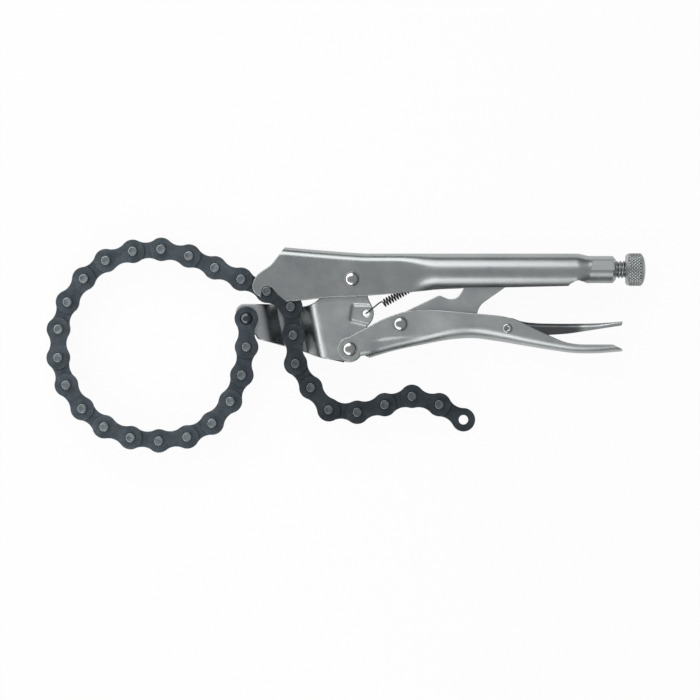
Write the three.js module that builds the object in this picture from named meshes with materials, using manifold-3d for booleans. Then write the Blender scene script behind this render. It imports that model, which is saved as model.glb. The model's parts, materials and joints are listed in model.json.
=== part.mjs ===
// Locking chain pliers: a stamped steel handle with a hook, a hinged chain jaw, an over-centre
// lower handle with toggle link and release lever, an adjusting screw and 18 inches of leaf chain.
// Millimetres. The tool lies on its side: X runs from the chain loop to the knob, Y from the lower
// handle to the upper one, and Z is up, so every hinge stands upright.
// All places are first written from the upper pivot at (0, 0, 0), with Z = 0 in the middle plane
// of the tool, and the whole group is set down on Z = 0 at the end.

import * as THREE from "three";
import { mergeVertices } from "three/addons/utils/BufferGeometryUtils.js";
import Module from "manifold-3d";

const wasm = await Module();
wasm.setup();

// Clearances and the overrun of every cut
const runningGap = 0.25;
const plateGap = 0.15;
const seatGap = 0.35;
const overrun = 1;
// Room at the screw's tip, where the toggle link's nose swings while the jaw opens
const noseGap = 0.75;

// Leaf chain, 5/8 inch pitch
const chain = {
  pitch: 15.875,
  plate: 2,
  endRadius: 6.55,
  waistHalf: 4.35,
  pinRadius: 2.54,
  pinHalfLength: 7.6,
  endHoleRadius: 2.6,
};
// Direction of each link in degrees, from the anchor rivet round the loop to the free end
const chainHeadings = [
  -89.5, -99.5, -113.5, -130, -151, -172, 173.5, 157.5, 140.5, 124, 106.5,
  89.5, 71.5, 55, 39.5, 19, 4, -13.5, -24.5, -23.5, -25, -33,
  -85, -85.5, -57.5, -51, -5, 15.5, 17, -17, -32,
];
// Links from the anchor rivet round to the pin that lies in the hook, and on to the pin in the trough
const loopLinkCount = 21;
const troughLinkCount = loopLinkCount + 2;

// Levels of the chain stack from the middle plane outwards
const innerHalf = chain.plate;
const outerFrom = innerHalf + plateGap;
const outerTo = outerFrom + chain.plate;
const anchorFrom = outerTo + plateGap;
const anchorTo = anchorFrom + chain.plate;

// Pivots, from the upper pivot
const anchorReach = 58.7;
const anchorDrop = 21.95;
const pivotDrop = 39;
const pivotShift = 1.3;
const linkPivotReach = 27;
const linkPivotDrop = 25;
const leverPivotReach = 86.6;
const leverPivotDrop = 27.5;

const upperPivot = new THREE.Vector2(0, 0);
const anchor = new THREE.Vector2(-anchorReach, -anchorDrop);
const lowerPivot = new THREE.Vector2(-pivotShift, -pivotDrop);
const linkPivot = new THREE.Vector2(linkPivotReach, -linkPivotDrop);
const leverPivot = new THREE.Vector2(leverPivotReach, -leverPivotDrop);

// Sheet and bar thicknesses
const handleSheet = 2.3;
const leverSheet = 1.8;
const linkHalf = 2.4;

// Upper handle
const upper = {
  length: 145.7,
  formedLength: 23.7,
  topRise: 14.2,
  frontRise: 17.7,
  mouthDrop: 9.9,
  rearDrop: 3.8,
  frontInner: outerTo + runningGap,
  rearInner: 6,
  flareFrom: 24,
  flareTo: 49,
  cornerRadius: 3.6,
  hookSize: 10,
};
const channelTo = upper.length - upper.formedLength;
const upperFrontHalf = upper.frontInner + handleSheet;
const upperRearHalf = upper.rearInner + handleSheet;

// Round neck, adjusting screw and knob share one axis
const screw = {
  axisRise: 5.3,
  radius: 4.8,
  tipRadius: 3.2,
  tipChamfer: 1.2,
  spigotRadius: 3.4,
  shown: 6.75,
};
const neck = { radius: 7.55, length: 12.7, flatDepth: 1.1, flatLength: 11.2, flatRise: 2.6 };
const neckFrom = upper.length - neck.length;
const flatFrom = upper.length - neck.flatLength;
const knob = { radius: 9.15, length: 11.2, round: 1.5, capThickness: 2.4 };

// Chain jaw: one bent plate with a trough for the chain
const jaw = {
  half: 3,
  troughCentreShift: 0.2,
  troughBottomHalf: 5.75,
  troughClearance: 0.5,
  wallAngle: 59,
  bendLine: 11,
  bendRadius: 4.5,
  tabReach: 6.3,
  tabRise: 8.1,
  upperLobe: 8,
  lowerLobe: 7.4,
  recessDepth: 1.6,
  springHoleRadius: 1.95,
};
const springHole = new THREE.Vector2(0.205, -0.49).multiplyScalar(pivotDrop);

// Lower handle
const lower = {
  length: 150.6,
  frontInner: jaw.half + runningGap,
  rearInner: 5.7,
  flareFrom: 34,
  flareTo: 60,
  cornerRadius: 3.4,
  frontRadius: 6.6,
  webFrom: 9.4,
};
const lowerFrontHalf = lower.frontInner + handleSheet;
const lowerRearHalf = lower.rearInner + handleSheet;

// Release lever
const lever = {
  length: 150.2,
  outerHalf: lower.rearInner - runningGap,
  padHalf: 7,
  cornerRadius: 2.4,
  pivotShare: 0.5766,
};
// The thumb pad widens where the lower handle's walls have dropped below the lever
const padFlareShares = [0.797, 0.863];

// Toggle link
const link = { lobe: 5.8, noseRadius: 4, noseReach: 91 };

// Rivets: shank and head sizes
const pivotRivet = { shank: 3.3, head: 4, rise: 1.9, flatShare: 0.3 };
const anchorRivet = { shank: chain.pinRadius, head: 3.4, rise: 1.7, flatShare: 0.35 };
const leverRivet = { shank: 1.9, head: 2.4, rise: 0.7, bore: 1 };

// Return spring
const spring = {
  wire: 0.45,
  coilRadius: 2.1,
  turns: 22,
  pitch: 1.32,
  start: 11.2,
  hookSide: 1.7,
  tilt: 29.7,
  sides: 5,
};
const tongue = { thickness: 1.8, half: 3, tip: 1.2, holeRadius: 1.5, cutLength: 7.2 };

// Facets
const roundSides = 24;
const rivetSides = 12;
const pinSides = 10;
const arcStep = 22.5;
const bendStep = 30;
const linkStep = 35;

// Colours of the finishes
const finishes = {
  nickel: new THREE.MeshStandardMaterial({ color: 0xa9a8a3, roughness: 0.38, metalness: 0.9 }),
  bright: new THREE.MeshStandardMaterial({ color: 0xb9b9b5, roughness: 0.3, metalness: 0.95 }),
  oxide: new THREE.MeshStandardMaterial({ color: 0x3c4348, roughness: 0.45, metalness: 0.8 }),
  pin: new THREE.MeshStandardMaterial({ color: 0x70777c, roughness: 0.4, metalness: 0.85 }),
  wire: new THREE.MeshStandardMaterial({ color: 0x2a2b2d, roughness: 0.4, metalness: 0.8 }),
};

// Shares of a size for what has no size of its own
const innerCornerShare = 0.25;
const notchShare = 0.85;
const tabRoundShare = 0.85;
const farShare = 1.4;
const backSlopeShare = 0.011;
const backSlopeMost = 1.4;

// Points nearer than this are one
const weld = 1e-5;

const toRadians = THREE.MathUtils.degToRad;

// Solid helpers

function solidOf(geometry) {
  const bare = geometry.index ? geometry.toNonIndexed() : geometry.clone();
  bare.deleteAttribute("normal");
  bare.deleteAttribute("uv");
  const merged = mergeVertices(bare, weld);
  return new wasm.Manifold(new wasm.Mesh({
    numProp: 3,
    vertProperties: new Float32Array(merged.attributes.position.array),
    triVerts: new Uint32Array(merged.index.array),
  }));
}

function geometryOf(solid) {
  const mesh = solid.getMesh();
  const places = new Float32Array(mesh.numVert * 3);
  for (let i = 0; i < mesh.numVert; i += 1) {
    for (let k = 0; k < 3; k += 1) {
      places[i * 3 + k] = mesh.vertProperties[i * mesh.numProp + k];
    }
  }
  const geometry = new THREE.BufferGeometry();
  geometry.setAttribute("position", new THREE.BufferAttribute(places, 3));
  geometry.setIndex(Array.from(mesh.triVerts));
  return geometry;
}

// A plate of a closed outline between two levels
function plate(points, low, high) {
  const shape = new THREE.Shape(points);
  const geometry = new THREE.ExtrudeGeometry(shape, { depth: high - low, bevelEnabled: false });
  return solidOf(geometry.translate(0, 0, low));
}

// An upright cylinder
function post(centre, radius, low, high, sides = roundSides) {
  const geometry = new THREE.CylinderGeometry(radius, radius, high - low, sides);
  geometry.rotateX(Math.PI / 2);
  return solidOf(geometry.translate(centre.x, centre.y, (low + high) / 2));
}

// A turned body: profile of [radius, height] from the axis back to the axis
function turned(profile, sides = roundSides) {
  return new THREE.LatheGeometry(profile.map(([r, h]) => new THREE.Vector2(r, h)), sides);
}

// A turned body whose axis lies along X at the screw's height
function turnedAlongX(profile, sides = roundSides) {
  const geometry = turned(profile, sides).rotateZ(-Math.PI / 2);
  return solidOf(geometry.translate(0, screw.axisRise, 0));
}

// A skin over rings of equal point count, closed at both ends
function loft(rings) {
  const count = rings[0].length;
  const places = rings.flat().flatMap((p) => [p.x, p.y, p.z]);
  const faces = [];
  for (let r = 0; r + 1 < rings.length; r += 1) {
    for (let i = 0; i < count; i += 1) {
      const a = r * count + i;
      const b = r * count + ((i + 1) % count);
      faces.push(a, b, b + count, a, b + count, a + count);
    }
  }
  const flat = rings[0].map((p) => new THREE.Vector2(p.z, p.y));
  const turn = Math.sign(THREE.ShapeUtils.area(flat));
  const last = (rings.length - 1) * count;
  for (const corners of THREE.ShapeUtils.triangulateShape(flat, [])) {
    const alike = Math.sign(THREE.ShapeUtils.area(corners.map((i) => flat[i]))) === turn;
    const [a, b, c] = alike ? corners : corners.toReversed();
    faces.push(a, c, b);
    faces.push(last + a, last + b, last + c);
  }
  const geometry = new THREE.BufferGeometry();
  geometry.setAttribute("position", new THREE.Float32BufferAttribute(places, 3));
  geometry.setIndex(faces);
  const volume = signedVolume(places, faces);
  if (volume < 0) {
    geometry.setIndex(faces.reverse());
  }
  return solidOf(geometry);
}

function signedVolume(places, faces) {
  const [a, b, c] = [new THREE.Vector3(), new THREE.Vector3(), new THREE.Vector3()];
  let sum = 0;
  for (let i = 0; i < faces.length; i += 3) {
    a.fromArray(places, faces[i] * 3);
    b.fromArray(places, faces[i + 1] * 3);
    c.fromArray(places, faces[i + 2] * 3);
    sum += a.dot(b.cross(c));
  }
  return sum / 6;
}

// Points of an arc, both ends included
function arc(centre, radius, from, to, step = arcStep) {
  const steps = Math.max(2, Math.ceil(Math.abs(to - from) / step - 0.01));
  return Array.from({ length: steps + 1 }, (_, i) => {
    const angle = toRadians(from + ((to - from) * i) / steps);
    return new THREE.Vector2(centre.x + radius * Math.cos(angle), centre.y + radius * Math.sin(angle));
  });
}

// A closed outline with its corners rounded: each corner is { x, y, r }
function rounded(corners) {
  const points = [];
  corners.forEach((corner, i) => {
    const here = new THREE.Vector2(corner.x, corner.y);
    if (!corner.r) {
      points.push(here);
      return;
    }
    const before = corners[(i + corners.length - 1) % corners.length];
    const after = corners[(i + 1) % corners.length];
    const toBefore = new THREE.Vector2(before.x, before.y).sub(here);
    const toAfter = new THREE.Vector2(after.x, after.y).sub(here);
    const half = Math.acos(THREE.MathUtils.clamp(toBefore.dot(toAfter)
      / (toBefore.length() * toAfter.length()), -1, 1)) / 2;
    const room = Math.min(toBefore.length(), toAfter.length()) / 2;
    const back = Math.min(corner.r / Math.tan(half), room);
    const radius = back * Math.tan(half);
    toBefore.normalize();
    toAfter.normalize();
    const middle = toBefore.clone().add(toAfter).normalize();
    const centre = here.clone().addScaledVector(middle, radius / Math.sin(half));
    const start = here.clone().addScaledVector(toBefore, back).sub(centre);
    const end = here.clone().addScaledVector(toAfter, back).sub(centre);
    const from = THREE.MathUtils.radToDeg(start.angle());
    const turn = THREE.MathUtils.radToDeg(Math.atan2(start.cross(end), start.dot(end)));
    points.push(...arc(centre, radius, from, from + turn));
  });
  return points;
}

// Corners written as shares of a width and a height from a base point, with a corner radius share
function fromShares(shares, width, height, base = upperPivot) {
  return shares.map(([x, y, r]) => ({
    x: base.x + x * width,
    y: base.y + y * height,
    r: (r || 0) * Math.min(width, height),
  }));
}

// A value read from a table of [place share, value share] with straight stretches between
function along(table, share) {
  if (share <= table[0][0]) {
    return table[0][1];
  }
  for (let i = 1; i < table.length; i += 1) {
    const [a, b] = [table[i - 1], table[i]];
    if (share <= b[0]) {
      return a[1] + ((b[1] - a[1]) * (share - a[0])) / (b[0] - a[0]);
    }
  }
  return table[table.length - 1][1];
}

// Section of a folded channel across X: web at one height, two walls to the open side
function channelSection(x, web, open, half, sheet, corner) {
  const side = Math.sign(web - open);
  const ring = [];
  const inner = half - sheet;
  const innerCorner = Math.max(corner - sheet, sheet * innerCornerShare);
  const bend = (halfWidth, height, radius, from, to) => {
    const centre = new THREE.Vector2(halfWidth - radius, height - side * radius);
    return arc(upperPivot, radius, from, to, bendStep).map((p) => [centre.x + p.x, centre.y + side * p.y]);
  };
  const outerSide = bend(half, web, corner, 0, 90);
  const innerSide = bend(inner, web - side * sheet, innerCorner, 0, 90);
  ring.push([half, open], ...outerSide);
  ring.push(...outerSide.map(([z, y]) => [-z, y]).reverse(), [-half, open]);
  ring.push([-inner, open], ...innerSide.map(([z, y]) => [-z, y]));
  ring.push(...innerSide.reverse(), [inner, open]);
  return ring.map(([z, y]) => new THREE.Vector3(x, y, z));
}

// Chain

// Outline of a link plate: two round ends joined by hollow waists that run into them smoothly
function linkOutline() {
  const { pitch, endRadius, waistHalf } = chain;
  const hollow = ((pitch / 2) ** 2 + waistHalf ** 2 - endRadius ** 2) / (2 * (endRadius - waistHalf));
  const meet = THREE.MathUtils.radToDeg(Math.atan2(waistHalf + hollow, pitch / 2));
  const start = new THREE.Vector2(0, 0);
  const end = new THREE.Vector2(pitch, 0);
  const above = new THREE.Vector2(pitch / 2, waistHalf + hollow);
  const below = new THREE.Vector2(pitch / 2, -waistHalf - hollow);
  return [
    ...arc(end, endRadius, meet - 180, 180 - meet, linkStep),
    ...arc(above, hollow, -meet, meet - 180, bendStep).slice(1, -1),
    ...arc(start, endRadius, meet, 360 - meet, linkStep),
    ...arc(below, hollow, 180 - meet, meet, bendStep).slice(1, -1),
  ];
}

const linkEnds = [new THREE.Vector2(0, 0), new THREE.Vector2(chain.pitch, 0)];

function chainPin(centre) {
  return post(centre, chain.pinRadius, -chain.pinHalfLength, chain.pinHalfLength, pinSides);
}

function outerLink() {
  const outline = linkOutline();
  const plates = plate(outline, outerFrom, outerTo).add(plate(outline, -outerTo, -outerFrom));
  return plates.add(chainPin(linkEnds[0])).add(chainPin(linkEnds[1]));
}

function innerLink(endHole) {
  const hole = chain.pinRadius + runningGap;
  const reach = innerHalf + overrun;
  return plate(linkOutline(), -innerHalf, innerHalf)
    .subtract(post(linkEnds[0], hole, -reach, reach, pinSides))
    .subtract(post(linkEnds[1], endHole, -reach, reach, pinSides));
}

function anchorPlate(low, high) {
  const hole = chain.pinRadius + runningGap;
  return plate(linkOutline(), low, high)
    .subtract(post(linkEnds[0], hole, low - overrun, high + overrun, pinSides))
    .subtract(post(linkEnds[1], hole, low - overrun, high + overrun, pinSides));
}

// Places of all pins, worked out link by link from the anchor
function chainPlaces() {
  const places = [anchor.clone()];
  for (const heading of chainHeadings) {
    const step = new THREE.Vector2(chain.pitch, 0).rotateAround(upperPivot, toRadians(heading));
    places.push(places[places.length - 1].clone().add(step));
  }
  return places;
}

const pins = chainPlaces();
const seat = pins[loopLinkCount];
const troughPin = pins[troughLinkCount];

// Upper handle

// Front of the handle from the lip of the hook up to the top corner, from the hook's seat
const noseShares = [
  [-0.36, -0.34, 0.06], [-0.74, -0.08, 0.3], [-0.86, 0.36, 0.4], [-0.6, 0.86, 0.5],
  [-0.38, 1.05, 0.4], [0.22, 1.45, 0.4],
];
// Mouth of the hook: lip, open side and the wall that the pin slides out along
const mouthShares = [
  [-0.28, 0.12, 0], [-0.38, -0.5, 0], [0.6, -1.1, 0], [1.13, -0.62, 0], [1.02, -0.52, 0.3],
  [0.62, -0.2, 0.6], [0.27, 0.22, 0],
];
const lobeShares = [[1.36, -0.58, 0.4], [1.0, -0.58, 0.25]];
// Lower edge as shares of the handle's length and of the mouth drop
const lowerEdgeShares = [
  [0.84, -0.39], [0.585, -0.47], [0.43, -0.52], [0.335, -0.58], [0.19, -0.78], [0.02, -0.98], [-0.09, -1.03],
];

// The back edge is level from here to the neck, and rises from here to the hook
const backSlopeTo = -upper.length * backSlopeShare;

function upperTop(x) {
  const slopeFrom = seat.x + upper.hookSize;
  const share = THREE.MathUtils.clamp((x - backSlopeTo) / (slopeFrom - backSlopeTo), 0, backSlopeMost);
  return upper.topRise + (upper.frontRise - upper.topRise) * share;
}

function upperHalf(x) {
  const share = THREE.MathUtils.smoothstep(x, upper.flareFrom, upper.flareTo);
  return THREE.MathUtils.lerp(upperFrontHalf, upperRearHalf, share);
}

function upperOutline() {
  const nose = fromShares(noseShares, upper.hookSize, upper.hookSize, seat);
  const lobe = fromShares(lobeShares, upper.hookSize, upper.hookSize, seat);
  const edge = fromShares(lowerEdgeShares, upper.length, upper.mouthDrop);
  const top = upper.frontRise + overrun;
  const corner = { x: seat.x + upper.hookSize, y: upper.frontRise, r: handleSheet / 2 };
  return rounded([
    ...nose, corner, { x: corner.x + overrun, y: top }, { x: channelTo, y: top },
    { x: channelTo, y: -upper.rearDrop }, ...edge, ...lobe,
  ]);
}

function upperChannel() {
  const open = -upper.mouthDrop * 2;
  const stations = [seat.x - upper.hookSize * 2, seat.x + upper.hookSize, backSlopeTo, upper.flareFrom];
  const flareSteps = 5;
  for (let i = 1; i <= flareSteps; i += 1) {
    stations.push(THREE.MathUtils.lerp(upper.flareFrom, upper.flareTo, i / flareSteps));
  }
  stations.push(channelTo + overrun);
  const rings = stations.map((x) => channelSection(
    x, upperTop(x), open, upperHalf(x), handleSheet, upper.cornerRadius,
  ));
  const deep = upperRearHalf + overrun;
  return loft(rings).intersect(plate(upperOutline(), -deep, deep));
}

function hookMouth() {
  const deep = upperRearHalf + overrun;
  const mouth = plate(rounded(fromShares(mouthShares, upper.hookSize, upper.hookSize, seat)), -deep, deep);
  return mouth.add(post(seat, chain.pinRadius + seatGap, -deep, deep));
}

// Ring of points for the formed end: from a rounded box at share 0 to a circle at share 1
function formedRing(x, share, inset) {
  const count = roundSides;
  const boxHalf = upperRearHalf - inset;
  const low = -upper.rearDrop + inset;
  const high = upper.topRise - inset;
  const middle = (low + high) / 2;
  const radius = neck.radius - inset;
  const boxCorner = Math.max(upper.cornerRadius - inset, handleSheet * innerCornerShare);
  return Array.from({ length: count }, (_, i) => {
    const angle = (2 * Math.PI * (i + 0.5)) / count;
    const [c, s] = [Math.cos(angle), Math.sin(angle)];
    const tall = (high - low) / 2;
    const reach = roundedBoxReach(c, s, boxHalf, tall, boxCorner);
    const z = THREE.MathUtils.lerp(c * reach, c * radius, share);
    const y = THREE.MathUtils.lerp(middle + s * reach, screw.axisRise + s * radius, share);
    return new THREE.Vector3(x, y, z);
  });
}

// Distance from the middle of a rounded box to its edge along the direction (c, s)
function roundedBoxReach(c, s, halfWide, halfTall, corner) {
  let [low, high] = [0, halfWide + halfTall];
  const bisections = 40;
  for (let i = 0; i < bisections; i += 1) {
    const mid = (low + high) / 2;
    const dx = Math.max(Math.abs(c) * mid - (halfWide - corner), 0);
    const dy = Math.max(Math.abs(s) * mid - (halfTall - corner), 0);
    if (Math.hypot(dx, dy) > corner) {
      high = mid;
    } else {
      low = mid;
    }
  }
  return low;
}

function formedEnd() {
  const from = channelTo - overrun;
  const steps = [0, 0.25, 0.5, 0.75, 1];
  const place = (share) => THREE.MathUtils.lerp(from, neckFrom, share);
  const blend = (share) => THREE.MathUtils.smoothstep(share, 0, 1);
  const outer = loft(steps.map((s) => formedRing(place(s), blend(s), 0)));
  const innerSteps = steps.map((s) => formedRing(
    THREE.MathUtils.lerp(from - overrun, neckFrom + overrun, s), blend(s), handleSheet,
  ));
  const tube = turnedAlongX([
    [0, neckFrom - overrun / 2], [neck.radius, neckFrom - overrun / 2],
    [neck.radius, upper.length], [0, upper.length],
  ]);
  const bore = turnedAlongX([
    [0, neckFrom - overrun], [screw.radius + runningGap, neckFrom - overrun],
    [screw.radius + runningGap, upper.length + overrun], [0, upper.length + overrun],
  ]);
  return outer.add(tube).subtract(loft(innerSteps)).subtract(bore);
}

// Flat pressed into each side of the neck, deepest at the end
function neckFlats(solid) {
  const far = neck.radius + overrun;
  const face = neck.radius - neck.flatDepth;
  const low = screw.axisRise - neck.flatRise;
  const high = screw.axisRise + neck.flatRise;
  const outline = rounded([
    { x: flatFrom, y: low, r: neck.flatRise / 2 }, { x: upper.length + overrun, y: low },
    { x: upper.length + overrun, y: high }, { x: flatFrom, y: high, r: neck.flatRise / 2 },
  ]);
  return solid.subtract(plate(outline, face, far)).subtract(plate(outline, -far, -face));
}

function springTongue() {
  const root = upper.topRise - handleSheet / 2;
  const outline = [
    new THREE.Vector2(springAnchor.x - tongue.thickness / 2, springAnchor.y - tongue.tip - tongue.holeRadius),
    new THREE.Vector2(springAnchor.x + tongue.thickness / 2, springAnchor.y - tongue.tip - tongue.holeRadius),
    new THREE.Vector2(springAnchor.x + tongue.thickness / 2, root),
    new THREE.Vector2(springAnchor.x - tongue.thickness / 2, root),
  ];
  const hole = new THREE.CylinderGeometry(
    tongue.holeRadius, tongue.holeRadius, tongue.cutLength, pinSides,
  );
  hole.rotateZ(Math.PI / 2).rotateZ(springAngle).translate(springAnchor.x, springAnchor.y, 0);
  return plate(outline, -tongue.half, tongue.half).subtract(solidOf(hole));
}

function upperHandle() {
  const deep = upperRearHalf + overrun;
  const notchRadius = upper.rearDrop * notchShare;
  const notch = new THREE.Vector2(channelTo + notchRadius, -upper.rearDrop);
  return neckFlats(upperChannel().add(formedEnd()))
    .subtract(hookMouth())
    .subtract(post(upperPivot, pivotRivet.shank + runningGap, -deep, deep))
    .subtract(post(notch, notchRadius, -deep, deep))
    .add(springTongue());
}

// Chain jaw

// Outline as shares of the anchor reach and of the pivot drop
const jawEdgeShares = [
  [-0.765, -0.357, 0], [-0.447, -0.392, 0.06], [-0.37, -0.355, 0.08], [-0.3, -0.27, 0.1],
  [-0.13, 0, 0], [0.13, 0, 0], [0.152, -0.27, 0.2], [0.2, -0.405, 0.2], [0.214, -0.49, 0.16],
  [0.196, -0.6, 0.16], [0.146, -0.68, 0.1], [0.1, -0.92, 0], [0.063, -1.126, 0.02], [0, -1.19, 0.05],
  [-0.21, -1.147, 0.1], [-0.3, -1.125, 0.1], [-0.36, -1.094, 0.1], [-0.455, -1.04, 0.1],
  [-0.607, -0.975, 0.1], [-0.89, -0.857, 0.05], [-0.913, -0.8, 0.06], [-1.09, -0.62, 0.14],
];

function jawOutline() {
  const tabTop = -anchorDrop + jaw.tabRise;
  const tab = { x: -anchorReach - jaw.tabReach, y: tabTop, r: jaw.tabReach * tabRoundShare };
  return rounded([tab, ...fromShares(jawEdgeShares, anchorReach, pivotDrop)]);
}

// Section of the bent plate across the bend lines, as [across, level] for one face
function troughFace(offset) {
  const depth = chain.pinHalfLength + jaw.troughClearance + jaw.half;
  const slope = toRadians(jaw.wallAngle);
  const tangent = jaw.bendRadius * Math.tan(slope / 2);
  const foot = jaw.troughBottomHalf + tangent;
  const shoulder = foot + depth / Math.tan(slope);
  const topBend = arc(
    new THREE.Vector2(shoulder + tangent, -jaw.bendRadius), jaw.bendRadius + offset, 90, 90 + jaw.wallAngle,
  );
  const lowBend = arc(
    new THREE.Vector2(jaw.troughBottomHalf, jaw.bendRadius - depth), jaw.bendRadius - offset, -90,
    jaw.wallAngle - 90,
  );
  return [...lowBend, ...topBend.reverse()];
}

function bentPlate() {
  const far = anchorReach + pivotDrop;
  const frontRight = [...troughFace(jaw.half), new THREE.Vector2(far, jaw.half)];
  const backRight = [...troughFace(-jaw.half), new THREE.Vector2(far, -jaw.half)];
  const mirrored = (points) => points.map((p) => new THREE.Vector2(-p.x, p.y));
  const section = [
    ...mirrored(frontRight).toReversed(), ...frontRight, ...backRight.toReversed(), ...mirrored(backRight),
  ];
  const shape = new THREE.Shape(section);
  const geometry = new THREE.ExtrudeGeometry(shape, { depth: far * 2, bevelEnabled: false });
  // The section stands in X and Z and is carried along Y, then turned to the bend lines
  geometry.rotateX(Math.PI / 2).translate(0, far, 0).rotateZ(toRadians(jaw.bendLine));
  return solidOf(geometry.translate(troughPin.x - jaw.troughCentreShift, troughPin.y, 0));
}

// Thinned web round the spring hole, pressed in from both faces
function springRecess() {
  const outline = rounded(fromShares([
    [-0.02, -0.37, 0.04], [0.5, -0.37, 0], [0.5, -0.66, 0], [0.34, -0.62, 0.1], [-0.05, -0.57, 0.05],
  ], pivotDrop, pivotDrop));
  const face = jaw.half - jaw.recessDepth;
  const far = jaw.half + overrun;
  return plate(outline, face, far).add(plate(outline, -far, -face));
}

function chainJaw() {
  const deep = jaw.half + overrun;
  const bottom = -chain.pinHalfLength - jaw.troughClearance - jaw.half * 2 - overrun;
  const silhouette = plate(jawOutline(), bottom, deep);
  return bentPlate().intersect(silhouette)
    .add(post(upperPivot, jaw.upperLobe, -jaw.half, jaw.half))
    .add(post(lowerPivot, jaw.lowerLobe, -jaw.half, jaw.half))
    .subtract(springRecess())
    .subtract(post(springHole, jaw.springHoleRadius, -deep, deep, pinSides))
    .subtract(post(upperPivot, pivotRivet.shank + runningGap, -deep, deep))
    .subtract(post(lowerPivot, pivotRivet.shank + runningGap, -deep, deep))
    .subtract(post(anchor, anchorRivet.shank + runningGap, -deep, deep, pinSides));
}

// Lower handle

// Edges as shares of the handle's length and of the pivot drop
const lowerUpperEdgeShares = [
  [-0.03, -0.885, 0.1], [0.0, -0.8, 0.1], [0.057, -0.69, 0.2], [0.109, -0.58, 0.3], [0.2, -0.45, 0.3],
  [0.29, -0.43, 0.4], [0.475, -0.497, 0.5], [0.56, -0.528, 0.5], [0.61, -0.585, 0.2], [0.678, -0.715, 0.3],
  [0.787, -0.905, 0.4], [0.837, -0.935, 0.3], [0.965, -0.935, 0.05], [1.0, -1.0, 0.03],
];
const lowerLowerEdgeShares = [
  [1.0, -1.032], [0.897, -1.06], [0.82, -1.05], [0.747, -1.0], [0.648, -0.923], [0.525, -0.828],
  [0.45, -0.81], [0.384, -0.828], [0.25, -0.944], [0.142, -1.036], [0.062, -1.13], [0.0, -1.2],
];
const lowerNotchShares = [[0.0625, -1.135, 0.02], [0.05, -1.09, 0.02], [0.03, -1.1, 0.03]];

function lowerBottom(x) {
  const table = [...lowerLowerEdgeShares].reverse();
  return along(table, x / lower.length) * pivotDrop;
}

function lowerHalf(x) {
  const share = THREE.MathUtils.smoothstep(x, lower.flareFrom, lower.flareTo);
  return THREE.MathUtils.lerp(lowerFrontHalf, lowerRearHalf, share);
}

function lowerOutline() {
  const top = fromShares(lowerUpperEdgeShares, lower.length, pivotDrop);
  const under = pivotDrop * farShare;
  const notch = fromShares(lowerNotchShares, lower.length, pivotDrop);
  const behind = { x: lower.length, y: -under };
  return rounded([...top, behind, { x: notch[0].x, y: -under }, ...notch]);
}

const lowerOpenShare = 0.2;
const lowerFrontShare = 0.1;
const lowerStationShares = [-0.06, 0.062, 0.142, 0.25, 0.31, 0.384, 0.45, 0.525, 0.585, 0.648, 0.7, 0.747,
  0.78, 0.82, 0.857, 0.897, 1.01];

function lowerHandle() {
  const open = -pivotDrop * lowerOpenShare;
  const rings = lowerStationShares.map((share) => {
    const x = share * lower.length;
    return channelSection(x, lowerBottom(x), open, lowerHalf(x), handleSheet, lower.cornerRadius);
  });
  const deep = lowerRearHalf + overrun;
  const body = loft(rings).intersect(plate(lowerOutline(), -deep, deep));
  const ears = post(lowerPivot, lower.frontRadius, -lowerFrontHalf, lowerFrontHalf);
  const front = -lower.length * lowerFrontShare;
  const under = -pivotDrop * farShare;
  const jawRoom = plate([
    new THREE.Vector2(front, under), new THREE.Vector2(lower.webFrom, under),
    new THREE.Vector2(lower.webFrom, 0), new THREE.Vector2(front, 0),
  ], -lower.frontInner, lower.frontInner);
  return body.add(ears)
    .subtract(jawRoom)
    .subtract(post(lowerPivot, pivotRivet.shank + runningGap, -deep, deep))
    .subtract(post(linkPivot, pivotRivet.shank + runningGap, -deep, deep))
    .subtract(post(leverPivot, leverRivet.shank + runningGap, -deep, deep, pinSides));
}

// Release lever

const leverTopShares = [
  [0.47, -0.64], [0.53, -0.62], [0.565, -0.57], [0.59, -0.555], [0.625, -0.6], [0.68, -0.628], [0.75, -0.636],
  [0.848, -0.636], [0.923, -0.628], [1.0, -0.605],
];
const leverOutlineShares = [
  [0.477, -0.64, 0.05], [0.55, -0.6, 0.1], [0.567, -0.5, 0.1], [1.01, -0.5, 0], [1.0, -0.64, 0.02],
  [0.968, -0.674, 0.1], [0.848, -0.754, 0.3], [0.8, -0.782, 0.3], [0.725, -0.8, 0.3], [0.65, -0.8, 0.2],
  [0.59, -0.745, 0.1], [0.477, -0.715, 0.03],
];

// The lever's shares count its front from the pivot's reach and its pad from there to its length
function leverPlace(share) {
  const { length, pivotShare } = lever;
  return share < pivotShare
    ? leverPivotReach * (share / pivotShare)
    : leverPivotReach + ((length - leverPivotReach) * (share - pivotShare)) / (1 - pivotShare);
}

function leverHalf(x) {
  const [from, to] = padFlareShares;
  const share = THREE.MathUtils.smoothstep(x, from * lower.length, to * lower.length);
  return THREE.MathUtils.lerp(lever.outerHalf, lever.padHalf, share);
}

function leverOutline() {
  return leverOutlineShares.map(([share, drop, r]) => ({
    x: leverPlace(share),
    y: drop * pivotDrop,
    r: r * pivotDrop,
  }));
}

const leverStationShares = [0.46, 0.53, 0.565, 0.59, 0.625, 0.68, 0.75, 0.8, 0.832, 0.865, 0.923, 1.01];

function releaseLever() {
  const open = -pivotDrop * farShare;
  const rings = leverStationShares.map((share) => {
    const x = leverPlace(share);
    const top = along(leverTopShares, share) * pivotDrop;
    return channelSection(x, top, open, leverHalf(x), leverSheet, lever.cornerRadius);
  });
  const deep = lever.padHalf + overrun;
  return loft(rings)
    .intersect(plate(rounded(leverOutline()), -deep, deep))
    .subtract(post(leverPivot, leverRivet.shank + runningGap, -deep, deep, pinSides));
}

// Toggle link

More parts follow.
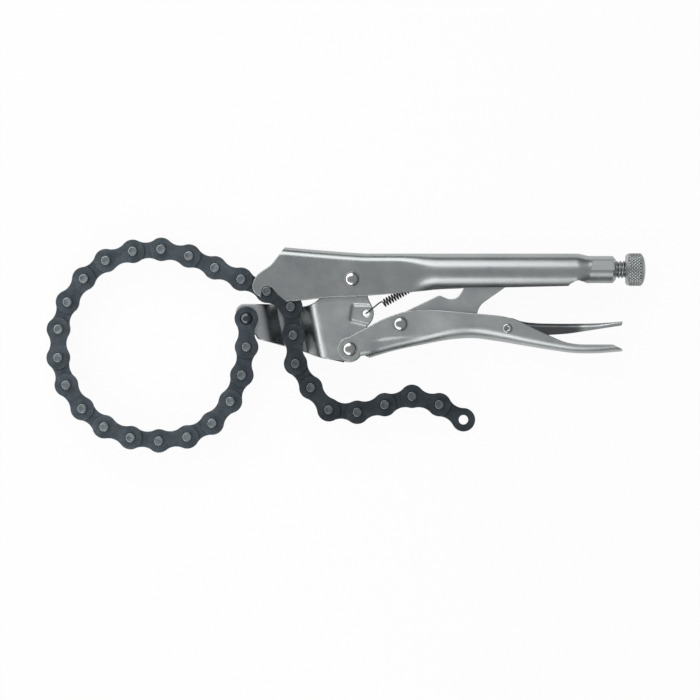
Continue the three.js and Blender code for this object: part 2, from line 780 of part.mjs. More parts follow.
const linkNose = new THREE.Vector2(link.noseReach, screw.axisRise);
// Edge as shares of the reach from pivot to nose and of the pivot drop
const linkUpperShares = [[0.12, -0.42, 0.05], [0.34, -0.235, 0.06], [0.43, -0.295, 0.12], [0.5, -0.27, 0.1],
  [0.56, -0.12, 0.1], [0.72, 0.17, 0.15], [0.9, 0.235, 0.1]];
const linkLowerShares = [[1.02, 0.05, 0.06], [0.93, -0.1, 0.2], [0.86, -0.18, 0.2], [0.71, -0.35, 0.2],
  [0.675, -0.44, 0.1], [0.66, -0.62, 0.1], [0.4, -0.72, 0.3], [0.05, -0.76, 0.1]];

function toggleLink() {
  const reach = linkNose.x - linkPivot.x;
  const base = new THREE.Vector2(linkPivot.x, 0);
  const outline = rounded([
    ...fromShares(linkUpperShares, reach, pivotDrop, base),
    ...fromShares(linkLowerShares, reach, pivotDrop, base),
  ]);
  const deep = linkHalf + overrun;
  return plate(outline, -linkHalf, linkHalf)
    .add(post(linkPivot, link.lobe, -linkHalf, linkHalf))
    .add(post(linkNose, link.noseRadius, -linkHalf, linkHalf))
    .subtract(post(linkPivot, pivotRivet.shank + runningGap, -deep, deep));
}

// Adjusting screw and knob

const screwTip = link.noseReach + link.noseRadius + noseGap;
const knobFrom = upper.length + screw.shown;

function adjustingScrew() {
  const shoulder = knobFrom - runningGap;
  const end = knobFrom + knob.length - knob.capThickness - runningGap;
  return turnedAlongX([
    [0, screwTip], [screw.tipRadius, screwTip], [screw.radius, screwTip + screw.tipChamfer],
    [screw.radius, shoulder], [screw.spigotRadius, shoulder], [screw.spigotRadius, end], [0, end],
  ]);
}

function adjustingKnob() {
  const { radius, length, round, capThickness } = knob;
  const end = knobFrom + length;
  const bore = screw.spigotRadius + runningGap;
  // Middle of the quarter circle that rounds each rim
  const near = round * (1 - Math.SQRT1_2);
  return turnedAlongX([
    [0, end - capThickness], [bore, end - capThickness], [bore, knobFrom],
    [radius - round, knobFrom], [radius - near, knobFrom + near], [radius, knobFrom + round],
    [radius, end - round], [radius - near, end - near], [radius - round, end], [0, end],
  ]);
}

// Rivets

// Points of a dome's edge as shares of the head's radius and of its rise
const domeShares = [[0.75, 0.7], [1, 0.12], [1, 0]];

// A rivet with a low dome on each side of a stack of the given half height
function domedRivet({ shank, head, rise, flatShare }, stackHalf) {
  const seatLevel = stackHalf + plateGap;
  const dome = [
    [head * flatShare, seatLevel + rise],
    ...domeShares.map(([r, h]) => [head * r, seatLevel + rise * h]),
    [shank, seatLevel],
  ];
  const under = dome.map(([r, h]) => [r, -h]);
  const top = seatLevel + rise;
  const geometry = turned([[0, -top], ...under, ...dome.toReversed(), [0, top]], rivetSides);
  return solidOf(geometry.rotateX(Math.PI / 2));
}

// Heights of the rolled end at its bore and at its rim, as shares of its rise
const rollShares = { bore: 0.6, rim: 0.33 };

function tubularRivet() {
  const { shank, head, rise, bore } = leverRivet;
  const level = lowerRearHalf + plateGap;
  const end = [
    [shank, level], [head, level], [head, level + rise * rollShares.rim], [(bore + head) / 2, level + rise],
    [bore, level + rise * rollShares.bore],
  ];
  const other = end.map(([r, h]) => [r, -h]).reverse();
  const geometry = turned([...other, ...end, other[0]], pinSides);
  return solidOf(geometry.rotateX(Math.PI / 2));
}

// Return spring

const springAngle = toRadians(spring.tilt);
const springAxis = new THREE.Vector2(Math.cos(springAngle), Math.sin(springAngle));
const springLength = spring.start + spring.turns * spring.pitch + spring.start / 2;
const springAnchor = springHole.clone().addScaledVector(springAxis, springLength);

class SpringPath extends THREE.Curve {
  constructor() {
    super();
    this.points = springRoute();
    this.curve = new THREE.CatmullRomCurve3(this.points, false, "catmullrom", 0.5);
  }

  getPoint(t, target) {
    return this.curve.getPoint(t, target);
  }
}

// A place given along the spring's axis, sideways in the plane of the tool, and in height
function springPlace(run, side, level) {
  const place = springHole.clone().addScaledVector(springAxis, run);
  return new THREE.Vector3(place.x - springAxis.y * side, place.y + springAxis.x * side, level);
}

const springTurnSteps = 6;

// The hook through the jaw's hole as shares of the hook's size, along the axis and in height, and the
// end in the tongue, along the axis past it and sideways
const hookShares = [[1, -1.5], [0, -0.7], [0, 0.7], [1, 1.5]];
const legShares = [0.5, 1.3];
const tailShares = [[1.2, 0], [1.8, 1]];

function springRoute() {
  const { coilRadius, turns, pitch, start, hookSide } = spring;
  const route = [
    ...hookShares.map(([run, level]) => springPlace(run * hookSide, 0, level * hookSide)),
    springPlace(start * legShares[0], 0, hookSide * legShares[1]),
  ];
  for (let i = 0; i <= turns * springTurnSteps; i += 1) {
    const angle = (2 * Math.PI * i) / springTurnSteps;
    route.push(springPlace(
      start + (pitch * i) / springTurnSteps, -coilRadius * Math.sin(angle), coilRadius * Math.cos(angle),
    ));
  }
  route.push(
    springPlace(springLength - start / 3, 0, 0), springPlace(springLength, 0, 0),
    ...tailShares.map(([run, side]) => springPlace(springLength + run * hookSide, side * hookSide, 0)),
  );
  return route;
}

// Least distance between stretches of the wire that aren't neighbours along it, less the wire
function springGap(points) {
  let least = Infinity;
  for (let i = 0; i < points.length; i += 1) {
    for (let k = i + springTurnSteps / 2; k < points.length; k += 1) {
      least = Math.min(least, points[i].distanceTo(points[k]));
    }
  }
  return least - spring.wire * 2;
}

function returnSpring() {
  const turnStep = 360 / spring.sides;
  const section = new THREE.Shape(arc(upperPivot, spring.wire, 0, 360 - turnStep, turnStep));
  const path = new SpringPath();
  console.log(`spring: least gap between turns ${springGap(path.points).toFixed(2)} mm`);
  return new THREE.ExtrudeGeometry(section, {
    steps: path.points.length - 1, extrudePath: path, bevelEnabled: false,
  });
}

// Assembly

const tool = new THREE.Group();

function place(name, geometry, finish, centre = upperPivot, turn = 0) {
  const mesh = new THREE.Mesh(geometry, finish);
  mesh.name = name;
  mesh.position.set(centre.x, centre.y, 0);
  mesh.rotation.z = turn;
  tool.add(mesh);
}

place("upper_handle", geometryOf(upperHandle()), finishes.nickel);
place("adjusting_screw", geometryOf(adjustingScrew()), finishes.bright);
place("knurled_knob", geometryOf(adjustingKnob()), finishes.bright);
place("chain_jaw", geometryOf(chainJaw()), finishes.nickel);
place("lower_handle", geometryOf(lowerHandle()), finishes.nickel);
place("release_lever", geometryOf(releaseLever()), finishes.nickel);
place("toggle_link", geometryOf(toggleLink()), finishes.nickel);
place("return_spring", returnSpring(), finishes.wire);
place("upper_pivot_rivet", geometryOf(domedRivet(pivotRivet, upperFrontHalf)), finishes.bright, upperPivot);
place("lower_pivot_rivet", geometryOf(domedRivet(pivotRivet, lowerFrontHalf)), finishes.bright, lowerPivot);
place("link_pivot_rivet", geometryOf(domedRivet(pivotRivet, lowerFrontHalf)), finishes.bright, linkPivot);
place("lever_rivet", geometryOf(tubularRivet()), finishes.bright, leverPivot);
place("anchor_rivet", geometryOf(domedRivet(anchorRivet, anchorTo)), finishes.oxide, anchor);

const outerGeometry = geometryOf(outerLink());
const innerGeometry = geometryOf(innerLink(chain.pinRadius + runningGap));
const endGeometry = geometryOf(innerLink(chain.endHoleRadius));
const linkCount = chainHeadings.length;

chainHeadings.forEach((heading, i) => {
  const number = String(i + 1).padStart(2, "0");
  const turn = toRadians(heading);
  if (i === 0) {
    place("anchor_link_front", geometryOf(anchorPlate(anchorFrom, anchorTo)), finishes.oxide, pins[i], turn);
    place("anchor_link_back", geometryOf(anchorPlate(-anchorTo, -anchorFrom)), finishes.oxide, pins[i], turn);
  } else if (i === linkCount - 1) {
    place(`chain_end_link_${number}`, endGeometry, finishes.oxide, pins[i], turn);
  } else if (i % 2 === 1) {
    place(`chain_pin_link_${number}`, outerGeometry, finishes.pin, pins[i], turn);
  } else {
    place(`chain_inner_link_${number}`, innerGeometry, finishes.oxide, pins[i], turn);
  }
});

// Set down on Z = 0, over the middle of its own footprint
const box = new THREE.Box3().setFromObject(tool, true);
const middle = box.getCenter(new THREE.Vector3());
tool.position.set(-middle.x, -middle.y, -box.min.z);

export default tool;
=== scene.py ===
"""Locking chain pliers on a pale floor: satin nickel handles, blue-black leaf chain, knurled knob.

Every piece is a surface worked out with numpy in millimetres from the upper pivot, then put in metres
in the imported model's frame. X runs from the chain loop to the knob, Y from the lower handle to the
upper one, and Z is up, towards the camera.
"""
import json
import math

import bmesh
import bpy
import numpy as np
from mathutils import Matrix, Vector
from mathutils.geometry import tessellate_polygon


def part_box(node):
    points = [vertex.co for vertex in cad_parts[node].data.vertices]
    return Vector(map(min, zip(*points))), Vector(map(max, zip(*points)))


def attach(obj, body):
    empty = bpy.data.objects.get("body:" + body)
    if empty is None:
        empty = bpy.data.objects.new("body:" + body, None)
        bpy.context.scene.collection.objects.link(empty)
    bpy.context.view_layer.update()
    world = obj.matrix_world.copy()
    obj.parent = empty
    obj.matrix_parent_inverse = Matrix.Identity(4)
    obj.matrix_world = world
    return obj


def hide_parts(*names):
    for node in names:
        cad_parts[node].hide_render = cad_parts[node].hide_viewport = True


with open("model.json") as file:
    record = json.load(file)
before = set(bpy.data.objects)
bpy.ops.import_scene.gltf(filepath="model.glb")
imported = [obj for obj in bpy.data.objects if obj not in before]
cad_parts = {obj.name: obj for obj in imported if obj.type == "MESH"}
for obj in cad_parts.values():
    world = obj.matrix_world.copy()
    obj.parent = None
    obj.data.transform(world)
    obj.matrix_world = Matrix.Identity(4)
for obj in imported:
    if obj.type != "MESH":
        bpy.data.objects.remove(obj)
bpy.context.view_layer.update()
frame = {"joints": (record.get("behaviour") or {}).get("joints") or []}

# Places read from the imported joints, in millimetres

joints = {row["name"]: row for row in frame["joints"]}
MM = 1000.0
pivot = np.array(joints["jaw_pivot"]["pos_m"]) * MM


def joint_place(name):
    """A hinge's place in millimetres from the upper pivot, in the plane of the tool."""
    return (np.array(joints[name]["pos_m"]) * MM - pivot)[:2]


UPPER_PIVOT = np.zeros(2)
LOWER_PIVOT = joint_place("lower_handle_pivot")
LINK_PIVOT = joint_place("toggle_link_pivot")
LEVER_PIVOT = joint_place("release_lever_pivot")
LINK_COUNT = 31
PINS = [joint_place(f"chain_hinge_{k:02d}") for k in range(1, LINK_COUNT + 1)]
last_low, last_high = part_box("chain_end_link_31")
last_middle = (np.array(last_low) + np.array(last_high))[:2] / 2 * MM - pivot[:2]
PINS.append(2 * last_middle - PINS[-1])
# The pin on the jaw, the pin hooked into the upper handle, and one of those that lie in the jaw's trough
ANCHOR = PINS[0]
SEAT = PINS[21]
TROUGH_PIN = PINS[23]
# How far the lower pivot lies below the upper one, and how far the anchor lies in front of it and below
PIVOT_DROP = -LOWER_PIVOT[1]
ANCHOR_REACH, ANCHOR_DROP = -ANCHOR

# Sizes in millimetres and angles in degrees. Lengths run along X from the upper pivot, tops, rises and
# drops along Y, and a half is half a width across the tool, from its middle plane

SHEET = 2.3
LEVER_SHEET = 1.8
LINK_HALF = 2.4
CHAIN = {
    "pitch": 15.875, "end": 6.55, "waist": 4.35, "pin": 2.54, "reach": 7.6, "edge": 0.35,
    "bore_room": 0.12, "rivet_room": 0.01, "hole_step": 15.0, "pin_steps": 32,
}
INNER_LEVELS = (-2.0, 2.0)
OUTER_LEVELS = (2.15, 4.15)
ANCHOR_LEVELS = (4.3, 6.3)
# Half a pin's profile from its middle outwards: [share of the radius, distance in, distance down]
PIN_END = [(0, 0, 0.12), (0.55, 0, 0.12), (0.72, 0, 0), (1, 0.28, 0), (1, 0.08, 0.1), (1, 0, 0.32)]
UPPER = {
    "length": 145.7, "channel_to": 122.0, "top": 14.2, "front_top": 17.7, "mouth_drop": 9.9,
    "rear_drop": 3.8, "front_half": 6.7, "rear_half": 8.3, "flare_from": 24.0, "flare_to": 49.0,
    "slope_to": 8.0, "slope_power": 1.15, "slope_share": 1.4, "corner": 5.2, "oval_centre": 4.0,
    "hook": 10.0, "hook_corner": 1.2, "hook_foot": -19.8, "seat_room": 0.35, "cheek_past": 4.0,
    "thin_edge": 0.1, "thin_over": 6.0, "rear_gap": 5.0,
}
UPPER_STATIONS = {"front": 16, "flare": 33, "rear": 12}
CHEEK_POINTS = 15
OVAL_TURNS = (90.0, 15.0, -78.0)
FORMED = {"from_share": 0.35, "power": 8.0, "around": 96, "rows": 25}
NECK = {"radius": 7.55, "from": 133.0, "flat_depth": 0.75, "steps": 96}
# Rim of the neck: [distance in from its radius, distance past the handle's length]
NECK_RIM = [(0.0, -0.4), (0.2, -0.2), (1.82, 1.3)]
# Flat on the neck: [x, height over the screw's axis, corner radius]
NECK_FLAT = [(132.6, -0.3, 1.2), (147.7, -0.3, 0), (147.7, 7.55, 0), (134.4, 7.55, 0.5), (134.1, 4.9, 1.8)]
SCREW = {
    "rise": 5.3, "radius": 5.0, "from": 95.75, "shown": 6.75, "room": 0.15, "tip": 3.2, "tip_slope": 1.6,
    "worn": 0.05, "knob_gap": 0.25,
}
# The real coarse thread has a 1.59 mm lead. It is drawn with 1.9 mm, so that its turns show at this size
THREAD = {"lead": 1.9, "depth": 1.1, "steep": 2.6, "crest": 0.25, "run_in": 2.0, "rows": 12, "around": 72}
# Ends of the screw: [radius, distance from its tip], and [radius, distance from its shoulder]
SCREW_TIP = [(0, 0), (2.8, 0)]
SCREW_SPIGOT = [(3.9, 0), (3.4, 0), (3.4, 8.8), (0, 8.8)]
KNOB = {"radius": 9.15, "length": 11.2, "dome": 3.3, "dome_turn": 62.0, "collar": 1.9}
# Knob in front of the knurl: [radius, distance from its front], from the bore's bottom to the collar
KNOB_FRONT = [
    (0, 8.8), (3.65, 8.8), (3.65, 0.3), (3.95, 0), (7.7, 0), (7.9, 0.1), (8.8, 1.1), (9.0, 1.25),
    (8.95, 1.45), (8.55, 1.55), (8.55, 1.8),
]
# A real knurl has teeth about 1.2 mm apart. These are 1.9 mm apart, so that they show at this size
KNURL = {
    "teeth": 30, "tooth": 0.45, "points": 12, "sharp": 1.5, "plain_drop": 0.12, "front_fade": 0.3,
    "back_fade": 2.5, "straight_rows": 64, "dome_rows": 22, "last_turns": (70, 78, 85), "cap": 0.02,
    "groove_shade_power": 0.8,
}
JAW = {
    "half": 3.0, "trough_shift": 0.2, "trough_half": 5.75, "trough_room": 0.5, "wall": 59.0,
    "bend_line": 11.0, "bend": 4.5, "bend_step": 4.0, "tab_reach": 6.3, "tab_rise": 8.1, "tab_corner": 5.355,
    "upper_lobe": 8.0, "lower_lobe": 7.4, "recess": 1.1, "recess_wall": 1.8, "spring_hole": 1.95,
    "anchor_room": 0.25, "edge": 0.65,
}
LOWER = {
    "length": 150.6, "front_inner": 3.25, "front_half": 5.55, "rear_half": 8.0, "flare_from": 34.0,
    "flare_to": 60.0, "inner_corner": 1.5, "ear": 6.6, "web_from": 9.4, "room_from": -15.06,
    "mouth_share": -0.2, "under_share": -1.4,
}
PRESSED = {
    "step": 0.8, "run": 1.4, "from": 10.0, "full": 14.0, "to": 50.0, "high": 8.4, "low": 3.2, "points": 16,
}
LEVER = {
    "length": 150.2, "half": 5.45, "pad_half": 7.0, "corner": 2.4, "tip_corner": 0.9, "tip_from": 134.0,
    "flare_from": 120.0, "flare_to": 130.0, "mouth_share": -1.1,
}
LINK = {"lobe": 5.8, "nose": 4.0, "reach": 91.0, "edge": 0.4}
# Sections lie at these shares of a length. What runs past the end is cut by the side outline
LOWER_STATIONS = np.append(-0.06, np.linspace(0.062, 1.01, 64))
LEVER_STATIONS = np.linspace(0.46, 1.01, 56)
PIVOT_RIVET = {"shank": 3.3, "head": 4.15, "rise": 2.0, "brim": 4.65}
JOINT_RIVET = {"shank": 3.3, "head": 4.05, "rise": 1.95, "brim": 4.5}
ANCHOR_RIVET = {"shank": 2.54, "head": 3.45, "rise": 1.75, "brim": 3.6}
LEVER_RIVET = {"shank": 1.9, "head": 2.75, "bore": 0.7, "rise": 0.8, "foot": 0.15, "deep": 1.0, "steps": 48}
# Edge of a rivet's brim: [distance in from the brim's reach, distance up from its seat]
BRIM_EDGE = [(0.1, 0.0), (0.0, 0.05), (0.08, 0.15)]
BRIM_SHOWN = 0.06
RIVET_GAP = 0.02
SPRING = {
    "wire": 0.4, "coil": 2.0, "turns": 18, "pitch": 1.62, "start": 11.2, "angle": 29.7, "turn_steps": 12,
    "curve_steps": 3, "sides": 10,
}
# Ends of the spring: [along its axis, sideways, up], from the jaw's hole and from the coil's end
SPRING_LEG = [
    (1.7, 0, -2.55), (0.2, 0, -1.19), (0.2, 0, 1.19), (1.7, 0.15, 2.55), (5.6, 0.8, 2.21), (9.632, 1.4, 1.8),
    (10.976, 1.2, 1.9),
]
SPRING_TAIL = [(1.8667, 0, 0), (5.6, 0, 0), (7.64, 0, 0), (8.66, 1.7, 0)]
SPRING_HOLE = np.array([0.205, -0.49]) * PIVOT_DROP
PIVOT_HOLE = 3.55
LEVER_HOLE = 2.15
EASE = 0.5
DEEP = 12.0
OVERLAP = 1.0

# How finely shapes are drawn, and lengths too small to see

FINE_STEP = 7.5
RIM_ROWS = 6
PLATE_ROWS = 4
DOME_ROWS = 19
RIVET_STEPS = 72
BEVEL_SEGMENTS = 3
STEP_SLACK = 0.01
SKIN = 0.01
SAME_PLACE = 1e-4
SLIVER = 0.06
SLIVER_ANGLE = 0.4
# Edges that turn by more than this stay sharp
SHARP = {"folded": 30.0, "domed": 40.0, "turned": 50.0, "wound": 60.0}
# A direction that no part of the spring runs along
ASKEW = (0.3, 0.5, 0.8)
OVAL_LIMIT = 0.99

# Points and outlines


def arc(centre, radius, start, end, step=FINE_STEP):
    """Places at centre + radius (cos a, sin a), with a in equal turns from start to end degrees."""
    count = max(2, math.ceil(abs(end - start) / step - STEP_SLACK))
    a = np.radians(np.linspace(start, end, count + 1))
    return np.column_stack([centre[0] + radius * np.cos(a), centre[1] + radius * np.sin(a)])


def circle(centre, radius, step=FINE_STEP):
    """A closed round outline, its last place one step short of the first."""
    return arc(centre, radius, 0, 360 - step, step)


def eased(corners):
    """Closed outline of [x, y, radius]: each corner becomes the arc that touches both its sides, where it
    starts at radius / tan(half the corner) from the corner, or at the middle of the shorter side."""
    corners = np.asarray(corners, float)
    points = []
    for here, before, after in zip(corners, np.roll(corners, 1, 0), np.roll(corners, -1, 0)):
        if here[2] <= 0:
            points.append(here[None, :2])
            continue
        back, ahead = before[:2] - here[:2], after[:2] - here[:2]
        back_long, ahead_long = np.linalg.norm(back), np.linalg.norm(ahead)
        back, ahead = back / back_long, ahead / ahead_long
        half = math.acos(np.clip(back @ ahead, -1, 1)) / 2
        reach = min(here[2] / math.tan(half), 0.5 * min(back_long, ahead_long))
        radius = reach * math.tan(half)
        middle = (back + ahead) / np.linalg.norm(back + ahead)
        centre = here[:2] + middle * radius / math.sin(half)
        start, end = here[:2] + back * reach - centre, here[:2] + ahead * reach - centre
        from_angle = math.degrees(math.atan2(start[1], start[0]))
        turn = math.degrees(math.atan2(start[0] * end[1] - start[1] * end[0], start @ end))
        points.append(arc(centre, radius, from_angle, from_angle + turn))
    points = np.vstack(points)
    keep = np.linalg.norm(points - np.roll(points, 1, 0), axis=1) > SAME_PLACE
    return points[keep]


def inset(outline, distance):
    """The outline moved inwards along the mean normal of its two sides at each point."""
    side = np.roll(outline, -1, 0) - outline
    side /= np.linalg.norm(side, axis=1)[:, None]
    normal = np.column_stack([-side[:, 1], side[:, 0]])
    normal = normal + np.roll(normal, 1, 0)
    normal /= np.linalg.norm(normal, axis=1)[:, None]
    return outline + normal * distance


def counter_clockwise(outline):
    """The outline in the order in which its area counts as positive."""
    x, y = outline.T
    area = np.sum(x * np.roll(y, -1) - y * np.roll(x, -1))
    return outline if area > 0 else outline[::-1]


def from_shares(shares, width, height, base=(0.0, 0.0)):
    """Corners [x, y, radius] from shares of a width and a height, counted from a base point. A radius is a
    share of the smaller one."""
    rows = np.array([list(row) + [0] * (3 - len(row)) for row in shares], float)
    return np.column_stack([
        base[0] + rows[:, 0] * width, base[1] + rows[:, 1] * height, rows[:, 2] * min(width, height),
    ])


def smooth_along(table, share):
    """A value at each share: cubic Hermite pieces through the table, with slopes of the mean neighbours."""
    table = np.asarray(table, float)
    x, y = table[:, 0], table[:, 1]
    slope = np.gradient(y, x)
    share = np.clip(share, x[0], x[-1])
    i = np.clip(np.searchsorted(x, share) - 1, 0, len(x) - 2)
    width = x[i + 1] - x[i]
    t = (share - x[i]) / width
    return ((2 * t**3 - 3 * t**2 + 1) * y[i] + (t**3 - 2 * t**2 + t) * width * slope[i]
            + (3 * t**2 - 2 * t**3) * y[i + 1] + (t**3 - t**2) * width * slope[i + 1])


def smooth_step(x, low, high):
    """0 below low, 1 above high, and 3 t squared - 2 t cubed between."""
    t = np.clip((x - low) / (high - low), 0, 1)
    return t * t * (3 - 2 * t)


# Meshes


def grid_faces(rows, columns):
    """Quads between neighbouring rows of points, where each row closes on itself."""
    row, column = np.meshgrid(np.arange(rows - 1), np.arange(columns), indexing="ij")
    here, above = row * columns, (row + 1) * columns
    after = (column + 1) % columns
    return np.stack([here + column, here + after, above + after, above + column], -1).reshape(-1, 4)


def mesh_of(name, places, faces):
    """A mesh whose faces point outwards, from places in millimetres and lists of corners."""
    mesh = bpy.data.meshes.new(name)
    mesh.from_pydata(np.asarray(places).tolist(), [], [list(map(int, corners)) for corners in faces])
    shape = bmesh.new()
    shape.from_mesh(mesh)
    bmesh.ops.remove_doubles(shape, verts=shape.verts, dist=SAME_PLACE)
    bmesh.ops.recalc_face_normals(shape, faces=shape.faces)
    shape.to_mesh(mesh)
    shape.free()
    return mesh


def loft(name, rings):
    """Skin over closed rings of equal count, with both ends closed by one face each."""
    rings = np.asarray(rings, float)
    rows, columns = rings.shape[:2]
    faces = list(grid_faces(rows, columns))
    faces.append(np.arange(columns)[::-1])
    faces.append(np.arange(columns) + (rows - 1) * columns)
    return mesh_of(name, rings.reshape(-1, 3), faces)


def slab(name, outline, low, high):
    """The outline carried straight up from the low level to the high one."""
    flat = np.asarray(outline, float)
    rings = [np.column_stack([flat, np.full(len(flat), level)]) for level in (low, high)]
    return loft(name, rings)


def eased_slab(name, outline, levels, width, beyond=0.0):
    """The outline carried up and down to its own level at each point, where the rim turns inwards over a
    quarter circle: width (1 - cos t) in and width (1 - sin t) short of the level. The rim of a cutter
    then goes straight on to the height called beyond."""
    levels = levels + np.zeros(len(outline))
    width = width + np.zeros(len(outline))
    turns = np.radians(np.linspace(0, 90, RIM_ROWS))
    rows = [(width * (1 - math.cos(t)), width * (math.sin(t) - 1)) for t in turns]
    if beyond:
        rows[-1] = (width, rows[-1][1] + SKIN)
        rows.append((width, beyond - levels))
    up = [np.column_stack([inset(outline, d[:, None]), levels + z]) for d, z in rows]
    return loft(name, [ring * [1, 1, -1] for ring in up[::-1]] + up)


def post(name, centre, radius, low, high):
    """An upright cylinder."""
    return slab(name, circle(centre, radius), low, high)


def turned_surface(profile, centre, steps):
    """Places and faces of a profile of [radius, height] turned round an upright axis, each place at the
    centre + (r cos a, r sin a, h)."""
    profile = np.asarray(profile, float)
    a = np.linspace(0, 2 * np.pi, steps, endpoint=False)
    r, h = profile[:, :1], profile[:, 1:]
    level = np.broadcast_to(h, (len(profile), steps))
    places = np.stack([centre[0] + r * np.cos(a), centre[1] + r * np.sin(a), level], -1)
    return places.reshape(-1, 3), grid_faces(len(profile), steps)


def round_screw(name, runs, radii):
    """A surface round the screw's axis, at (run, rise + r sin a, r cos a) for each row's run and for each
    radius r in the row."""
    a = np.linspace(0, 2 * np.pi, radii.shape[1], endpoint=False)
    x = np.broadcast_to(runs[:, None], radii.shape)
    places = np.stack([x, SCREW["rise"] + radii * np.sin(a), radii * np.cos(a)], -1)
    return mesh_of(name, places.reshape(-1, 3), grid_faces(*radii.shape))


def turned_along_x(name, profile):
    """The profile of [radius, x] turned round the screw's axis."""
    profile = np.asarray(profile, float)
    return round_screw(name, profile[:, 1], np.repeat(profile[:, :1], NECK["steps"], axis=1))


def with_ends(before, runs, radii, after):
    """Runs and radii with the rows of plain [radius, run] profiles put before and after them."""
    before, after = np.asarray(before, float), np.asarray(after, float)
    around = np.ones(radii.shape[1])
    return (np.concatenate([before[:, 1], runs, after[:, 1]]),
            np.vstack([before[:, :1] * around, radii, after[:, :1] * around]))


def cut(base, tools):
    """The base mesh after each (operation, mesh) of the list, worked out by Blender's exact boolean."""
    holder = bpy.data.objects.new("work", base)
    bpy.context.scene.collection.objects.link(holder)
    helpers = []
    for operation, mesh in tools:
        helper = bpy.data.objects.new("tool", mesh)
        bpy.context.scene.collection.objects.link(helper)
        helpers.append(helper)
        step = holder.modifiers.new("cut", "BOOLEAN")
        step.operation = operation
        step.solver = "EXACT"
        step.object = helper
    result = bpy.data.meshes.new_from_object(holder.evaluated_get(bpy.context.evaluated_depsgraph_get()))
    for gone in [holder, *helpers]:
        bpy.data.objects.remove(gone)
    result.name = base.name
    return result


def without_slivers(mesh):
    """Merges the tiny edges that a boolean leaves, so that edges can be eased by an even width."""
    shape = bmesh.new()
    shape.from_mesh(mesh)
    bmesh.ops.remove_doubles(shape, verts=shape.verts, dist=SLIVER)
    bmesh.ops.dissolve_degenerate(shape, edges=shape.edges, dist=SLIVER)
    flat = math.radians(SLIVER_ANGLE)
    bmesh.ops.dissolve_limit(shape, angle_limit=flat, verts=shape.verts, edges=shape.edges)
    shape.to_mesh(mesh)
    shape.free()


def set_in_frame(mesh, material, smooth_angle):
    """Moves a mesh of millimetres into the frame's metres, shades it smooth but for its sharp edges, and
    gives it its material."""
    places = np.empty(len(mesh.vertices) * 3)
    mesh.vertices.foreach_get("co", places)
    places = (places.reshape(-1, 3) + pivot) / MM
    mesh.vertices.foreach_set("co", places.ravel())
    mesh.polygons.foreach_set("use_smooth", np.ones(len(mesh.polygons), bool))
    mesh.set_sharp_from_angle(angle=math.radians(smooth_angle))
    mesh.materials.clear()
    mesh.materials.append(material)


def finish_edges(made, edge, smooth_angle):
    """Rounds the sharp edges over the given width, or without one lets the flat faces lead the shading."""
    if edge:
        ease = made.modifiers.new("eased_edges", "BEVEL")
        ease.width = edge / MM
        ease.segments = BEVEL_SEGMENTS
        ease.limit_method = "ANGLE"
        ease.angle_limit = math.radians(smooth_angle)
        ease.harden_normals = True
        ease.use_clamp_overlap = False
    else:
        weigh = made.modifiers.new("flat_faces_first", "WEIGHTED_NORMAL")
        weigh.keep_sharp = True
        weigh.weight = 100


def piece(name, mesh, body, nodes, material, edge=0.0, smooth_angle=SHARP["folded"]):
    """One finished piece: its mesh set in the frame, its edges eased, riding on its body in place of the
    plain solids that it covers."""
    if edge:
        without_slivers(mesh)
    set_in_frame(mesh, material, smooth_angle)
    made = bpy.data.objects.new(name, mesh)
    bpy.context.scene.collection.objects.link(made)
    finish_edges(made, edge, smooth_angle)
    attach(made, body)
    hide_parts(*nodes)


# Materials

# Where a colour mix takes its share and its two colours, and where it gives the mixed one
SHARE, FIRST, SECOND, MIXED = 0, 6, 7, 2
# The pattern is the wide blotch plus this share of the fine grain. Its tones run from the first to the
# second, and its roughness from low to high, between the values below
GRAIN_SHARE = 0.45
TONE_FROM, TONE_TO = 0.5, 0.95
ROUGH_FROM, ROUGH_TO = 0.45, 1.0
BLOTCH_DETAIL, BLOTCH_ROUGHNESS = 5.0, 0.62
GRAIN_DETAIL, GRAIN_ROUGHNESS = 3.0, 0.6


def linear(hex_colour):
    """An sRGB hex colour as the linear colour that the shader takes."""
    value = np.array([int(hex_colour[i:i + 2], 16) for i in (1, 3, 5)]) / 255
    value = np.where(value <= 0.04045, value / 12.92, ((value + 0.055) / 1.055) ** 2.4)
    return (*value, 1.0)


def node(tree, kind, settings=None, links=None):
    """One shader node with its settings, and links as {input: output socket} or {input: value}."""
    made = tree.nodes.new(kind)
    for key, value in (settings or {}).items():
        setattr(made, key, value)
    for key, value in (links or {}).items():
        if isinstance(value, bpy.types.NodeSocket):
            tree.links.new(value, made.inputs[key])
        else:
            made.inputs[key].default_value = value
    return made


def tinted_along(tree, place, colour, along):
    """The colour times a tint that goes smoothly from one to the other between two places along X."""
    start, end, near, far = along
    run = node(tree, "ShaderNodeSeparateXYZ", {}, {0: place}).outputs["X"]
    run = node(tree, "ShaderNodeMapRange", {"interpolation_type": "SMOOTHSTEP"}, {
        "Value": run, "From Min": (start + pivot[0]) / MM, "From Max": (end + pivot[0]) / MM}).outputs[0]
    tint = node(tree, "ShaderNodeMix", {"data_type": "RGBA"}, {
        SHARE: run, FIRST: linear(near), SECOND: linear(far)}).outputs[MIXED]
    return node(tree, "ShaderNodeMix", {"data_type": "RGBA", "blend_type": "MULTIPLY"}, {
        SHARE: 1.0, FIRST: colour, SECOND: tint}).outputs[MIXED]


def with_painted_groove_shade(tree, colour, painted_groove_shade):
    """The colour with painted shade over it, as much as the mesh's groove attribute says."""
    deep = node(tree, "ShaderNodeAttribute", {"attribute_name": "groove"}).outputs["Fac"]
    return node(tree, "ShaderNodeMix", {"data_type": "RGBA"}, {
        SHARE: deep, FIRST: colour, SECOND: linear(painted_groove_shade)}).outputs[MIXED]


